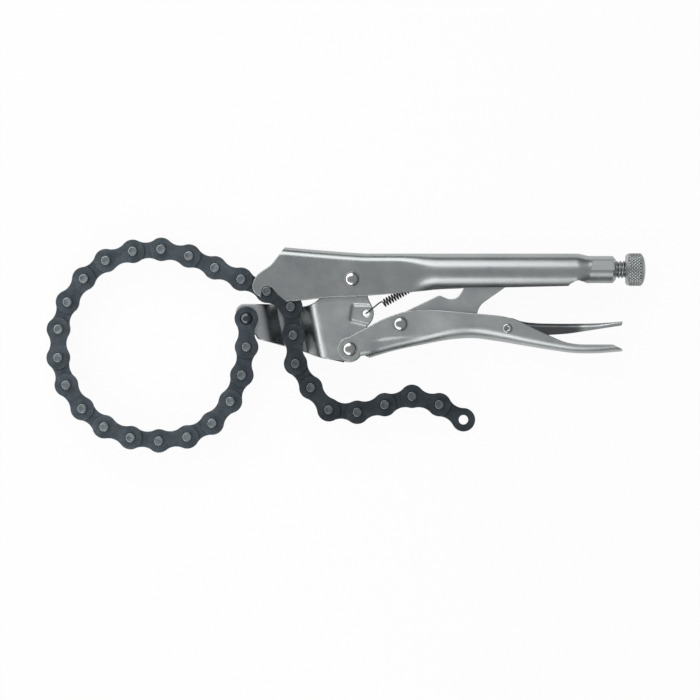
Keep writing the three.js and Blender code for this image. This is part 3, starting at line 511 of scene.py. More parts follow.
def metal(name, dark, light, roughness, spread, blotch, grain, relief, metallic=1.0, along=None, painted_groove_shade=None):
    """A metal finish. A blotch and a grain, both as wide as given in millimetres, add up to a pattern that
    mixes the two tones and moves the roughness up and down by the spread. The grain alone gives the relief
    its height in millimetres. Along is (from mm, to mm, tint, tint), a slow change along the tool, and the
    groove shade is the colour of painted shade that fills grooves."""
    made = bpy.data.materials.new(name)
    made.use_nodes = True
    tree = made.node_tree
    tree.nodes.clear()
    place = node(tree, "ShaderNodeTexCoord").outputs["Object"]
    wide = node(tree, "ShaderNodeTexNoise", {}, {
        "Vector": place, "Scale": MM / blotch, "Detail": BLOTCH_DETAIL, "Roughness": BLOTCH_ROUGHNESS,
    }).outputs["Fac"]
    fine = node(tree, "ShaderNodeTexNoise", {}, {
        "Vector": place, "Scale": MM / grain, "Detail": GRAIN_DETAIL, "Roughness": GRAIN_ROUGHNESS,
    }).outputs["Fac"]
    both = node(tree, "ShaderNodeMath", {"operation": "MULTIPLY_ADD"}, {
        0: fine, 1: GRAIN_SHARE, 2: wide}).outputs[0]
    share = node(tree, "ShaderNodeMapRange", {}, {
        "Value": both, "From Min": TONE_FROM, "From Max": TONE_TO, "To Min": 0.0, "To Max": 1.0}).outputs[0]
    colour = node(tree, "ShaderNodeMix", {"data_type": "RGBA"}, {
        SHARE: share, FIRST: linear(dark), SECOND: linear(light)}).outputs[MIXED]
    if along:
        colour = tinted_along(tree, place, colour, along)
    if painted_groove_shade:
        colour = with_painted_groove_shade(tree, colour, painted_groove_shade)
    rough = node(tree, "ShaderNodeMapRange", {}, {
        "Value": both, "From Min": ROUGH_FROM, "From Max": ROUGH_TO, "To Min": roughness - spread,
        "To Max": roughness + spread}).outputs[0]
    bump = node(tree, "ShaderNodeBump", {}, {
        "Height": fine, "Distance": relief / MM, "Strength": 1.0}).outputs[0]
    shader = node(tree, "ShaderNodeBsdfPrincipled", {}, {
        "Base Color": colour, "Roughness": rough, "Normal": bump, "Metallic": metallic})
    node(tree, "ShaderNodeOutputMaterial", {}, {"Surface": shader.outputs[0]})
    return made


# A real satin, tumbled or oxide grain is about 0.1 mm wide. A pixel covers 0.56 mm, so each grain is drawn
# 0.4 to 0.9 mm wide, which shows. The blotches are as wide as real ones from plating and handling

# Nickel plate over tumbled sheet steel, then brushed flat: soft grey lustre with a fine satin grain
satin_nickel = metal(
    "satin_nickel_plate", "#b1b5b6", "#c2c5c5", roughness=0.3, spread=0.04, blotch=14.0, grain=0.6,
    relief=0.01)
# The same plate left as tumbled on the forged jaw and the lower handle: duller, so it spreads the light more
tumbled_nickel = metal(
    "tumbled_nickel_plate", "#babebf", "#cbcece", roughness=0.38, spread=0.05, blotch=12.0, grain=0.6,
    relief=0.014)
# Thin nickel on the release lever, with painted shade on the part that lies deep in the lower handle's
# channel, so it is darker in front of the thumb pad
thin_nickel = metal(
    "thin_nickel_plate", "#babebf", "#cbcece", roughness=0.32, spread=0.05, blotch=10.0, grain=0.6,
    relief=0.012, along=(125.0, 131.0, "#8b8b8d", "#ffffff"))
# Nickel over headed and turned steel: tighter and brighter
bright_nickel = metal(
    "bright_nickel_plate", "#b9bbbb", "#cfcfcd", roughness=0.17, spread=0.03, blotch=6.0, grain=0.5,
    relief=0.004)
# Plain turned steel of the screw: greyer than the plated parts
turned_steel = metal(
    "turned_steel", "#9b9fa1", "#b0b3b4", roughness=0.3, spread=0.05, blotch=5.0, grain=0.4, relief=0.006)
# Knurled and plated steel, with painted shade that darkens the grooves of the knurl
knurled_steel = metal(
    "knurled_nickel_plate", "#c6c8c8", "#d6d7d6", roughness=0.36, spread=0.04, blotch=6.0, grain=0.5,
    relief=0.006, painted_groove_shade="#8c9193")
# Blue-black oxide on stamped spring steel: dark, a little blue, and darker towards the tail
chain_oxide = metal(
    "blue_black_oxide", "#565f66", "#6d767d", roughness=0.38, spread=0.08, blotch=7.0, grain=0.9,
    relief=0.02, metallic=0.9, along=(-78.0, -36.0, "#ffffff", "#c8c7c6"))
# The same oxide worn off the riveted pin ends
worn_pin_steel = metal(
    "worn_pin_steel", "#858d92", "#a8aeb1", roughness=0.34, spread=0.08, blotch=3.0, grain=0.6, relief=0.02,
    along=(-78.0, -36.0, "#ffffff", "#cbcac9"))
# The same oxide on the anchor rivet, oiled, so that its dome shows the lamps
oiled_rivet = metal(
    "oiled_black_oxide", "#4c5258", "#61686e", roughness=0.22, spread=0.05, blotch=4.0, grain=0.6,
    relief=0.006)
# Oil-blackened music wire: dark grey, with a soft sheen along each turn
spring_wire = metal(
    "oil_black_spring_wire", "#3c3e41", "#595c60", roughness=0.34, spread=0.06, blotch=3.0, grain=0.4,
    relief=0.006)

# Chain

WAIST_HOLLOW = (((CHAIN["pitch"] / 2) ** 2 + CHAIN["waist"] ** 2 - CHAIN["end"] ** 2)
                / (2 * (CHAIN["end"] - CHAIN["waist"])))


def link_outline():
    """Two round ends joined by hollow waists: each waist's arc touches both end circles from outside."""
    half, rise = CHAIN["pitch"] / 2, CHAIN["waist"] + WAIST_HOLLOW
    meet = math.degrees(math.atan2(rise, half))
    return np.vstack([
        arc((2 * half, 0), CHAIN["end"], meet - 180, 180 - meet),
        arc((half, rise), WAIST_HOLLOW, -meet, meet - 180)[1:-1],
        arc((0, 0), CHAIN["end"], meet, 360 - meet),
        arc((half, -rise), WAIST_HOLLOW, 180 - meet, meet)[1:-1],
    ])


def stamped_plate(outline, holes, low, high):
    """Plate between two levels: rings [inset, level] round the outline and round each hole, with flat
    faces filled between the outline's and the holes' innermost rings."""
    ease = CHAIN["edge"]
    steps = np.radians(np.linspace(0, 90, PLATE_ROWS))
    edge = [(ease * (1 - math.sin(t)), low + ease * (1 - math.cos(t))) for t in steps]
    edge += [(d, low + high - z) for d, z in edge[::-1]]
    places, faces, first, tops, lows = [], [], 0, [], []
    for loop in [outline] + [hole[::-1] for hole in holes]:
        rings = np.array([np.column_stack([inset(loop, d), np.full(len(loop), z)]) for d, z in edge])
        places.append(rings.reshape(-1, 3))
        faces.extend((grid_faces(len(edge), len(loop)) + first).tolist())
        lows.append(np.arange(len(loop)) + first)
        tops.append(np.arange(len(loop)) + first + (len(edge) - 1) * len(loop))
        first += len(edge) * len(loop)
    places = np.vstack(places)
    for loops in (lows, tops):
        order = np.concatenate(loops)
        filled = tessellate_polygon([places[loop].tolist() for loop in loops])
        faces.extend([[int(order[i]) for i in triangle] for triangle in filled])
    return places, faces


def turned_pin(centre):
    """Pin with flat, eased ends turned round an upright axis, with a shallow dish in each end."""
    radius, reach = CHAIN["pin"], CHAIN["reach"]
    half = [(radius * share - inside, reach - drop) for share, inside, drop in PIN_END]
    profile = half + [(r, -h) for r, h in half[::-1]]
    places, faces = turned_surface(profile, centre, CHAIN["pin_steps"])
    return places, faces.tolist()


def laid(places, start, end):
    """Places of a link along X turned and moved so that it runs from start to end."""
    along = (end - start) / np.linalg.norm(end - start)
    turn = np.array([[along[0], along[1]], [-along[1], along[0]]])
    return np.column_stack([places[:, :2] @ turn + start, places[:, 2]])


def joined(parts):
    """Several (places, faces) as one."""
    places, faces, first = [], [], 0
    for some_places, some_faces in parts:
        places.append(some_places)
        faces.extend([[i + first for i in face] for face in some_faces])
        first += len(some_places)
    return np.vstack(places), faces


def link_piece(name, part, number, cad_node, material):
    """One piece of a link, laid from the link's first pin to its second."""
    places, faces = part
    mesh = mesh_of(name, laid(places, PINS[number - 1], PINS[number]), faces)
    piece(name, mesh, f"chain_link_{number:02d}", [cad_node], material)


def chain_pieces():
    """Plates and pins of all links, each at its own place along the hinges."""
    outline = link_outline()
    ends = [(0.0, 0.0), (CHAIN["pitch"], 0.0)]
    holes = [circle(end, CHAIN["pin"] + CHAIN["bore_room"], CHAIN["hole_step"]) for end in ends]
    tight = [circle(end, CHAIN["pin"] + CHAIN["rivet_room"], CHAIN["hole_step"]) for end in ends]
    inner = stamped_plate(outline, holes, *INNER_LEVELS)
    outer = joined([stamped_plate(outline, tight, *OUTER_LEVELS),
                    stamped_plate(outline, tight, -OUTER_LEVELS[1], -OUTER_LEVELS[0])])
    pins = joined([turned_pin(end) for end in ends])
    for number in range(2, LINK_COUNT + 1):
        if number % 2 == 0:
            cad_node = f"chain_pin_link_{number:02d}"
            link_piece(f"link_plates_{number:02d}", outer, number, cad_node, chain_oxide)
            link_piece(f"link_pins_{number:02d}", pins, number, cad_node, worn_pin_steel)
        else:
            kind = "inner" if number < LINK_COUNT else "end"
            cad_node = f"chain_{kind}_link_{number:02d}"
            link_piece(f"link_block_{number:02d}", inner, number, cad_node, chain_oxide)
    for side, levels in (("front", ANCHOR_LEVELS), ("back", (-ANCHOR_LEVELS[1], -ANCHOR_LEVELS[0]))):
        plate = stamped_plate(outline, holes, *levels)
        link_piece(f"anchor_plate_{side}", plate, 1, f"anchor_link_{side}", chain_oxide)


# Folded channels


def folded_face(half, web, mouth, radius):
    """One face of half a channel's section as [across, height], web first: a quarter circle from the web
    to the wall, and a straight wall to the open mouth."""
    side = np.sign(web - mouth)
    quarter = arc((0, 0), radius, 90, 0)
    bend = np.column_stack([half - radius + quarter[:, 0], web + side * (quarter[:, 1] - radius)])
    return np.vstack([bend, [[half, mouth]]])


def channel_ring(x, outer, inner):
    """Ring at x round both faces of a folded sheet, from half of each face, web first."""
    flip = np.array([-1, 1])
    ring = np.vstack([outer[::-1], outer * flip, (inner * flip)[::-1], inner])
    return np.column_stack([np.full(len(ring), x), ring[:, 1], ring[:, 0]])


# Outlines below are corners [x, y, radius] as shares: x of a piece's length, y of a height, and the radius
# of the smaller of both. A row of two is a sharp corner, or a point of a curve

NOSE_SHARES = [
    (-0.36, -0.34, 0.06), (-0.74, -0.08, 0.6), (-0.86, 0.36, 0.8), (-0.6, 0.86, 1.4), (-0.38, 1.05, 1.4),
    (0.22, 1.45, 1.0),
]
MOUTH_SHARES = [
    (-0.28, 0.12, 0), (-0.38, -0.5, 0), (0.6, -1.1, 0), (1.13, -0.62, 0), (1.02, -0.52, 0.3),
    (0.62, -0.2, 0.8), (0.27, 0.22, 0),
]
LOBE_SHARES = [(1.36, -0.58, 0.8), (1.0, -0.58, 0.25)]
UPPER_EDGE_SHARES = [
    (0.83, -0.39, 9), (0.585, -0.47, 20), (0.43, -0.52, 20), (0.335, -0.58, 12), (0.19, -0.78, 12),
    (0.02, -0.98, 9), (-0.09, -1.03, 9),
]
UPPER_EDGE_RUN, UPPER_EDGE_DROP = np.array([row[:2] for row in UPPER_EDGE_SHARES[::-1]]).T
NOTCH_SHARES = [
    (-0.5, 1.4), (-0.48, 1.08), (0.04, 0.62), (0.68, 0.3), (1.21, 0.15), (1.92, 0.38), (2.55, 0.66),
    (3.1, 0.78), (3.3, 1.4),
]


def upper_top(x):
    """Height of the back edge: level, and rising towards the hook from a point near the pivot, by a power
    of the share of the way."""
    slope_from, slope_to = SEAT[0] + UPPER["hook"], UPPER["slope_to"]
    share = np.clip((x - slope_to) / (slope_from - slope_to), 0, UPPER["slope_share"])
    return UPPER["top"] + (UPPER["front_top"] - UPPER["top"]) * share ** UPPER["slope_power"]


def upper_face(x, share, inwards):
    """One face of half the handle's section at x, web first: at share 0 a corner and a straight cheek down
    past the side outline, at share 1 part of an ellipse, and points between the two."""
    half = UPPER["front_half"] + (UPPER["rear_half"] - UPPER["front_half"]) * share - inwards
    top, centre = upper_top(x) - inwards, UPPER["oval_centre"]
    foot = UPPER["hook_foot"]
    if x > SEAT[0] + UPPER["hook"]:
        edge = np.interp(x / UPPER["length"], UPPER_EDGE_RUN, UPPER_EDGE_DROP) * UPPER["mouth_drop"]
        foot = edge - UPPER["cheek_past"]
    straight = folded_face(half, top, foot, UPPER["corner"] - inwards)
    bend, rest = straight[:-1], np.linspace(0, 1, CHEEK_POINTS)[1:, None]
    flat = np.vstack([bend, bend[-1] + (straight[-1] - bend[-1]) * rest])
    crown, knee, low = OVAL_TURNS
    turn = np.concatenate([np.linspace(crown, knee, len(bend)), knee + (low - knee) * rest[:, 0]])
    turn = np.radians(turn)
    oval = np.column_stack([half * np.cos(turn), centre + (top - centre) * np.sin(turn)])
    return (1 - share) * flat + share * oval


def upper_shell():
    """The upper handle's channel: sections along X, as wide as the flare says, from beyond the hook to the
    formed end."""
    hook, flare_from, flare_to = UPPER["hook"], UPPER["flare_from"], UPPER["flare_to"]
    stations = np.concatenate([
        [SEAT[0] - 2 * hook],
        np.linspace(SEAT[0] + hook, UPPER["slope_to"], UPPER_STATIONS["front"]),
        np.linspace(flare_from, flare_to, UPPER_STATIONS["flare"]),
        np.linspace(flare_to + UPPER["rear_gap"], UPPER["channel_to"] + OVERLAP, UPPER_STATIONS["rear"]),
    ])
    spread = smooth_step(stations, flare_from, flare_to)
    rings = [channel_ring(x, upper_face(x, share, 0.0), upper_face(x, share, SHEET))
             for x, share in zip(stations, spread)]
    return loft("upper_shell", rings)


def upper_outline():
    """Side outline of the channel: the hook's nose, the back, the formed end, the open edge and the lobe."""
    hook, end, top = UPPER["hook"], UPPER["channel_to"], UPPER["front_top"]
    back = [
        [SEAT[0] + hook, top, UPPER["hook_corner"]], [SEAT[0] + hook + OVERLAP, top + OVERLAP, 0],
        [end, top + OVERLAP, 0], [end, -UPPER["rear_drop"], 0],
    ]
    return counter_clockwise(eased(np.vstack([
        from_shares(NOSE_SHARES, hook, hook, SEAT), back,
        from_shares(UPPER_EDGE_SHARES, UPPER["length"], UPPER["mouth_drop"]),
        from_shares(LOBE_SHARES, hook, hook, SEAT),
    ])))


def upper_side():
    """Cutter of the side outline. Its rim turns in at the channel's outer face, which lies at half the width
    in front, and at half the width times sqrt(1 - h squared) where the section is oval, h being the share
    of the oval's height."""
    outline = upper_outline()
    share = smooth_step(outline[:, 0], UPPER["flare_from"], UPPER["flare_to"])
    half = UPPER["front_half"] + (UPPER["rear_half"] - UPPER["front_half"]) * share
    height = (outline[:, 1] - UPPER["oval_centre"]) / (UPPER["top"] - UPPER["oval_centre"])
    oval = half * np.sqrt(1 - np.clip(height, -OVAL_LIMIT, OVAL_LIMIT) ** 2)
    levels = (1 - share) * half + share * oval
    thin_from, over = UPPER["flare_from"], UPPER["thin_over"]
    thin = smooth_step(outline[:, 0], thin_from - over, thin_from + over)
    return eased_slab("side", outline, levels, EASE + (UPPER["thin_edge"] - EASE) * thin, DEEP)


def formed_rings(inset_by, start, end):
    """Rings that pass from the channel's oval, closed below by a flat, to the neck's circle by a smooth
    share of the way. The oval's reach r and the flat's f round into each other as (r^-8 + f^-8)^(-1/8)."""
    count, power = FORMED["around"], FORMED["power"]
    a = 2 * np.pi * (np.arange(count) + 0.5) / count
    c, s = np.cos(a), np.sin(a)
    centre = UPPER["oval_centre"]
    half, rise = UPPER["rear_half"] - inset_by, UPPER["top"] - inset_by - centre
    oval = 1 / np.hypot(c / half, s / rise)
    flat = (centre + UPPER["rear_drop"] - inset_by) / np.maximum(-s, SAME_PLACE)
    reach = (oval**-power + flat**-power) ** (-1 / power)
    radius = NECK["radius"] - inset_by
    rings = []
    for t in np.linspace(0, 1, FORMED["rows"]):
        share = smooth_step(t, FORMED["from_share"], 1)
        z = (1 - share) * c * reach + share * c * radius
        y = (1 - share) * (centre + s * reach) + share * (SCREW["rise"] + s * radius)
        rings.append(np.column_stack([np.full(count, start + (end - start) * t), y, z]))
    return rings


def neck():
    """The neck, round with an eased rim, and the bore for the screw through it."""
    start, radius, bore = NECK["from"], NECK["radius"], SCREW["radius"] + SCREW["room"]
    rim = [(radius - inside, UPPER["length"] + past) for inside, past in NECK_RIM]
    front, back = start - OVERLAP / 2, rim[-1][1]
    solid = turned_along_x("neck", [(0, front), (radius, front), *rim, (0, back)])
    front, back = start - OVERLAP, back + OVERLAP
    return solid, turned_along_x("bore", [(0, front), (bore, front), (bore, back), (0, back)])


def neck_flat(side):
    """Flat pressed into one side of the neck: what lies above a plane that leans down to the neck's back,
    between a low edge and the back, behind a round end."""
    outline = eased(np.array(NECK_FLAT) + [0, SCREW["rise"], 0])
    radius, low, high = NECK["radius"], NECK_FLAT[0][1], NECK_FLAT[-1][1]
    face, back = radius - NECK["flat_depth"], math.sqrt(radius**2 - high**2)
    lean = (back - face) / (high - low)
    rise = outline[:, 1] - SCREW["rise"] - low
    under = np.column_stack([outline, side * (face + rise * lean)])
    above = np.column_stack([outline, np.full(len(outline), side * DEEP)])
    return loft("flat", [under, above])


def fixed_handle():
    """Channel, formed end and neck in one, less the hook's mouth, the pivot hole, notch, bore and flats."""
    start, end = UPPER["channel_to"] - OVERLAP, NECK["from"]
    outer = loft("formed", formed_rings(0.0, start, end))
    hollow = loft("hollow", formed_rings(SHEET, start - OVERLAP, end + OVERLAP))
    solid, bore = neck()
    drop, hook = UPPER["rear_drop"], UPPER["hook"]
    notch = eased(from_shares(NOTCH_SHARES, drop, -drop, (UPPER["channel_to"], 0)))
    mouth = eased(from_shares(MOUTH_SHARES, hook, hook, SEAT))
    shell = cut(upper_shell(), [
        ("INTERSECT", upper_side()), ("UNION", outer), ("UNION", solid), ("DIFFERENCE", hollow),
        ("DIFFERENCE", bore), ("DIFFERENCE", slab("mouth", mouth, -DEEP, DEEP)),
        ("DIFFERENCE", post("seat", SEAT, CHAIN["pin"] + UPPER["seat_room"], -DEEP, DEEP)),
        ("DIFFERENCE", post("pivot", UPPER_PIVOT, PIVOT_HOLE, -DEEP, DEEP)),
        ("DIFFERENCE", slab("notch", notch, -DEEP, DEEP)),
        ("DIFFERENCE", neck_flat(1)), ("DIFFERENCE", neck_flat(-1)),
    ])
    piece("upper_handle_shell", shell, "fixed_handle", ["upper_handle"], satin_nickel)


LOWER_TOP_SHARES = [
    (-0.03, -0.885, 0.2), (0.0, -0.8, 0.3), (0.057, -0.69, 2), (0.109, -0.58, 2), (0.2, -0.45, 2),
    (0.29, -0.43, 3), (0.475, -0.497, 3), (0.56, -0.528, 1), (0.61, -0.585, 1), (0.678, -0.715, 2),
    (0.787, -0.905, 3), (0.837, -0.935, 2), (0.965, -0.935, 0.05), (1.0, -1.0, 0.03),
]
LOWER_BOTTOM_SHARES = [
    (0.0, -1.2), (0.062, -1.13), (0.142, -1.036), (0.25, -0.944), (0.384, -0.855), (0.45, -0.843),
    (0.525, -0.878), (0.648, -0.957), (0.747, -1.018), (0.82, -1.055), (0.897, -1.06), (1.0, -1.032),
]
LOWER_NOTCH_SHARES = [(0.0625, -1.135, 0.02), (0.05, -1.09, 0.02), (0.03, -1.1, 0.03)]
# Radius in millimetres of the fold between web and walls, at shares of the length
LOWER_CORNERS = [(0.0, 5.2), (0.25, 5.2), (0.4, 6.9), (0.5, 6.9), (0.66, 5.4), (0.8, 4.6), (1.0, 4.6)]


def pressed_face(x, face, web):
    """A folded face with points up its wall, pressed inwards below a crease that runs down to the web: its
    reach across shrinks by the step's share, from the crease down over a smooth step."""
    step = PRESSED["step"] * smooth_step(x, PRESSED["from"], PRESSED["full"])
    step *= 1 - smooth_step(x, PRESSED["full"], PRESSED["to"])
    crease = web + np.interp(x, [PRESSED["full"], PRESSED["to"]], [PRESSED["high"], PRESSED["low"]])
    foot, top = face[-2], face[-1]
    up = np.linspace(0, PRESSED["high"] + PRESSED["run"], PRESSED["points"])[1:] / (top[1] - foot[1])
    face = np.vstack([face[:-1], foot + (top - foot) * np.append(up, 1.0)[:, None]])
    below = smooth_step(crease - face[:, 1], -PRESSED["run"], PRESSED["run"])
    return face * np.column_stack([1 - step / top[0] * below, np.ones(len(face))])


def lower_half(x):
    """Half the lower handle's width at x."""
    spread = smooth_step(x, LOWER["flare_from"], LOWER["flare_to"])
    return LOWER["front_half"] + (LOWER["rear_half"] - LOWER["front_half"]) * spread


def lower_shell():
    """The lower handle's channel: its web follows a smooth curve below, and its walls stand up past the side
    outline."""
    stations = LOWER_STATIONS * LOWER["length"]
    webs = smooth_along(LOWER_BOTTOM_SHARES, LOWER_STATIONS) * PIVOT_DROP
    corners = smooth_along(LOWER_CORNERS, LOWER_STATIONS)
    mouth, inner = LOWER["mouth_share"] * PIVOT_DROP, LOWER["inner_corner"]
    rings = [channel_ring(x, pressed_face(x, folded_face(half, web, mouth, corner), web),
                          pressed_face(x, folded_face(half - SHEET, web + SHEET, mouth, inner), web))
             for x, web, half, corner in zip(stations, webs, lower_half(stations), corners)]
    return loft("lower_shell", rings)


def moving_handle():
    """Channel cut to its side outline, with the pivot ear, less the jaw's room in front and three holes."""
    length, under = LOWER["length"], LOWER["under_share"] * PIVOT_DROP
    notch = from_shares(LOWER_NOTCH_SHARES, length, PIVOT_DROP)
    outline = counter_clockwise(eased(np.vstack([
        from_shares(LOWER_TOP_SHARES, length, PIVOT_DROP),
        [[length, under, 0], [notch[0][0], under, 0]],
        notch,
    ])))
    front, back, inner = LOWER["room_from"], LOWER["web_from"], LOWER["front_inner"]
    room = slab("room", [(front, under), (back, under), (back, 0), (front, 0)], -inner, inner)
    ear = circle(LOWER_PIVOT, LOWER["ear"])
    shell = cut(lower_shell(), [
        ("INTERSECT", eased_slab("side", outline, lower_half(outline[:, 0]), EASE, DEEP)),
        ("UNION", eased_slab("ear", ear, LOWER["front_half"], EASE)), ("DIFFERENCE", room),
        ("DIFFERENCE", post("pivot", LOWER_PIVOT, PIVOT_HOLE, -DEEP, DEEP)),
        ("DIFFERENCE", post("link", LINK_PIVOT, PIVOT_HOLE, -DEEP, DEEP)),
        ("DIFFERENCE", post("lever", LEVER_PIVOT, LEVER_HOLE, -DEEP, DEEP)),
    ])
    piece("lower_handle_shell", shell, "lower_handle", ["lower_handle"], tumbled_nickel)


LEVER_TOP_SHARES = [
    (0.46, -0.64), (0.53, -0.62), (0.565, -0.57), (0.59, -0.555), (0.625, -0.6), (0.68, -0.628),
    (0.75, -0.636), (0.848, -0.636), (0.923, -0.628), (1.01, -0.603),
]
LEVER_SHARES = [
    (0.477, -0.64, 0.05), (0.55, -0.6, 0.1), (0.567, -0.5, 0.1), (1.01, -0.5, 0), (1.0, -0.664, 0.02),
    (0.968, -0.682, 0.8), (0.848, -0.754, 2), (0.8, -0.782, 2), (0.725, -0.8, 1), (0.65, -0.8, 0.6),
    (0.59, -0.745, 0.3), (0.477, -0.715, 0.03),
]


def release_lever():
    """Lever's channel: web above along a smooth curve, walls below, spread to a thumb pad at the end."""
    length, sheet = LEVER["length"], LEVER_SHEET
    stations = LEVER_STATIONS * length
    webs = smooth_along(LEVER_TOP_SHARES, LEVER_STATIONS) * PIVOT_DROP
    spread = smooth_step(stations, LEVER["flare_from"], LEVER["flare_to"])
    halves = LEVER["half"] + (LEVER["pad_half"] - LEVER["half"]) * spread
    near_tip = smooth_step(stations, LEVER["tip_from"], length)
    corners = LEVER["corner"] + (LEVER["tip_corner"] - LEVER["corner"]) * near_tip
    mouth, inner = LEVER["mouth_share"] * PIVOT_DROP, LEVER["corner"] - sheet
    rings = [channel_ring(x, folded_face(half, web, mouth, corner),
                          folded_face(half - sheet, web - sheet, mouth, inner))
             for x, web, half, corner in zip(stations, webs, halves, corners)]
    outline = eased(from_shares(LEVER_SHARES, length, PIVOT_DROP))
    shell = cut(loft("lever_shell", rings), [
        ("INTERSECT", slab("side", outline, -DEEP, DEEP)),
        ("DIFFERENCE", post("hole", LEVER_PIVOT, LEVER_HOLE, -DEEP, DEEP)),
    ])
    piece("release_lever_shell", shell, "release_lever", ["release_lever"], thin_nickel)


# Toggle link

LINK_UPPER_SHARES = [
    (0.03, -0.474, 0.1), (0.34, -0.232, 0.05), (0.43, -0.295, 0.4), (0.5, -0.27, 0.3), (0.56, -0.12, 0.3),
    (0.72, 0.17, 0.5), (0.9, 0.235, 0.3),
]
LINK_LOWER_SHARES = [
    (1.02, 0.05, 0.06), (0.93, -0.1, 0.5), (0.86, -0.18, 0.5), (0.71, -0.35, 0.5), (0.675, -0.44, 0.3),
    (0.66, -0.62, 0.1), (0.4, -0.72, 0.3), (0.05, -0.76, 0.1),
]


def toggle_link():
    """Plate of the link's outline, with round lobes at its pivot and at its nose."""
    nose = (LINK["reach"], SCREW["rise"])
    reach, base = LINK["reach"] - LINK_PIVOT[0], (LINK_PIVOT[0], 0.0)
    outline = eased(np.vstack([
        from_shares(LINK_UPPER_SHARES, reach, PIVOT_DROP, base),
        from_shares(LINK_LOWER_SHARES, reach, PIVOT_DROP, base),
    ]))
    plate = cut(slab("link_plate", outline, -LINK_HALF, LINK_HALF), [
        ("UNION", post("lobe", LINK_PIVOT, LINK["lobe"], -LINK_HALF, LINK_HALF)),
        ("UNION", post("nose", nose, LINK["nose"], -LINK_HALF, LINK_HALF)),
        ("DIFFERENCE", post("hole", LINK_PIVOT, PIVOT_HOLE, -DEEP, DEEP)),
    ])
    piece("toggle_link_plate", plate, "toggle_link", ["toggle_link"], tumbled_nickel,
          LINK["edge"])


# Chain jaw

JAW_SHARES = [
    (-0.765, -0.357, 0), (-0.447, -0.392, 0.3), (-0.37, -0.355, 0.3), (-0.3, -0.27, 0.3), (-0.13, 0, 0),
    (0.13, 0, 0), (0.152, -0.27, 0.4), (0.2, -0.405, 0.3), (0.214, -0.49, 0.3), (0.196, -0.6, 0.3),
    (0.146, -0.68, 0.2), (0.1, -0.92, 0), (0.063, -1.126, 0.02), (0, -1.19, 0.1), (-0.21, -1.147, 0.6),
    (-0.3, -1.125, 0.6), (-0.36, -1.094, 0.6), (-0.455, -1.04, 0.6), (-0.607, -0.975, 0.5),
    (-0.89, -0.857, 0.05), (-0.913, -0.8, 0.06), (-1.09, -0.62, 0.2),
]
RECESS_SHARES = [
    (-0.012, -0.342, 0.06), (0.5, -0.36, 0), (0.5, -0.74, 0), (0.2, -0.672, 0.1), (-0.058, -0.607, 0.06),
]


def trough_face(offset):
    """One face of the bent plate from the trough's middle outwards, as [across, level]: the flat bottom,
    an arc up to the sloping wall, and an arc over to the tool's middle plane."""
    depth = CHAIN["reach"] + JAW["trough_room"] + JAW["half"]
    slope, bend = math.radians(JAW["wall"]), JAW["bend"]
    tangent = bend * math.tan(slope / 2)
    shoulder = JAW["trough_half"] + tangent + depth / math.tan(slope)
    over = arc((shoulder + tangent, -bend), bend + offset, 90, 90 + JAW["wall"], JAW["bend_step"])
    low = arc((JAW["trough_half"], bend - depth), bend - offset, -90, JAW["wall"] - 90, JAW["bend_step"])
    return np.vstack([low, over[::-1]])


def bent_plate():
    """The plate's section carried along its bend lines, which lean a little from Y."""
    far = ANCHOR_REACH + PIVOT_DROP
    front = np.vstack([trough_face(JAW["half"]), [[far, JAW["half"]]]])
    back = np.vstack([trough_face(-JAW["half"]), [[far, -JAW["half"]]]])
    flip = np.array([-1, 1])
    section = np.vstack([(front * flip)[::-1], front, back[::-1], back * flip])
    lean = math.radians(JAW["bend_line"])
    across, along = np.array([math.cos(lean), math.sin(lean)]), np.array([-math.sin(lean), math.cos(lean)])
    centre = TROUGH_PIN - [JAW["trough_shift"], 0]
    rings = [np.column_stack([centre + section[:, :1] * across + run * along, section[:, 1]])
             for run in (-far, far)]
    return loft("jaw_plate", rings)


def pressed_recess(side):
    """Recess round the spring hole: its rings step in from the full outline at the face to a smaller one
    at the pressed level, so its walls slope."""
    outline = counter_clockwise(eased(from_shares(RECESS_SHARES, PIVOT_DROP, PIVOT_DROP)))
    half = JAW["half"]
    rows = [(0.0, half + OVERLAP), (0.0, half + SKIN), (JAW["recess_wall"], half - JAW["recess"])]
    rings = [np.column_stack([inset(outline, d), np.full(len(outline), side * level)]) for d, level in rows]
    return loft("recess", rings)


def chain_jaw():
    """Bent plate cut to its outline, with lobes at both pivots, the pressed recess and its holes."""
    half = JAW["half"]
    tab = [[-ANCHOR_REACH - JAW["tab_reach"], JAW["tab_rise"] - ANCHOR_DROP, JAW["tab_corner"]]]
    outline = eased(np.vstack([tab, from_shares(JAW_SHARES, ANCHOR_REACH, PIVOT_DROP)]))
    bottom = -CHAIN["reach"] - JAW["trough_room"] - 2 * half - OVERLAP
    plate = cut(bent_plate(), [
        ("INTERSECT", slab("side", outline, bottom, half + OVERLAP)),
        ("UNION", post("upper", UPPER_PIVOT, JAW["upper_lobe"], -half, half)),
        ("UNION", post("lower", LOWER_PIVOT, JAW["lower_lobe"], -half, half)),
        ("DIFFERENCE", pressed_recess(1)), ("DIFFERENCE", pressed_recess(-1)),
        ("DIFFERENCE", post("spring", SPRING_HOLE, JAW["spring_hole"], -DEEP, DEEP)),
        ("DIFFERENCE", post("hole", UPPER_PIVOT, PIVOT_HOLE, -DEEP, DEEP)),
        ("DIFFERENCE", post("hole", LOWER_PIVOT, PIVOT_HOLE, -DEEP, DEEP)),
        ("DIFFERENCE", post("hole", ANCHOR, CHAIN["pin"] + JAW["anchor_room"], -DEEP, DEEP)),
    ])
    piece("chain_jaw_plate", plate, "jaw", ["chain_jaw"], tumbled_nickel, JAW["edge"])


# Rivets, screw, knob and spring


def both_ends(half):
    """A whole profile from its upper half: the half upside down, and the half."""
    half = np.asarray(half, float)
    return np.vstack([(half[1:] * [1, -1])[::-1], half])


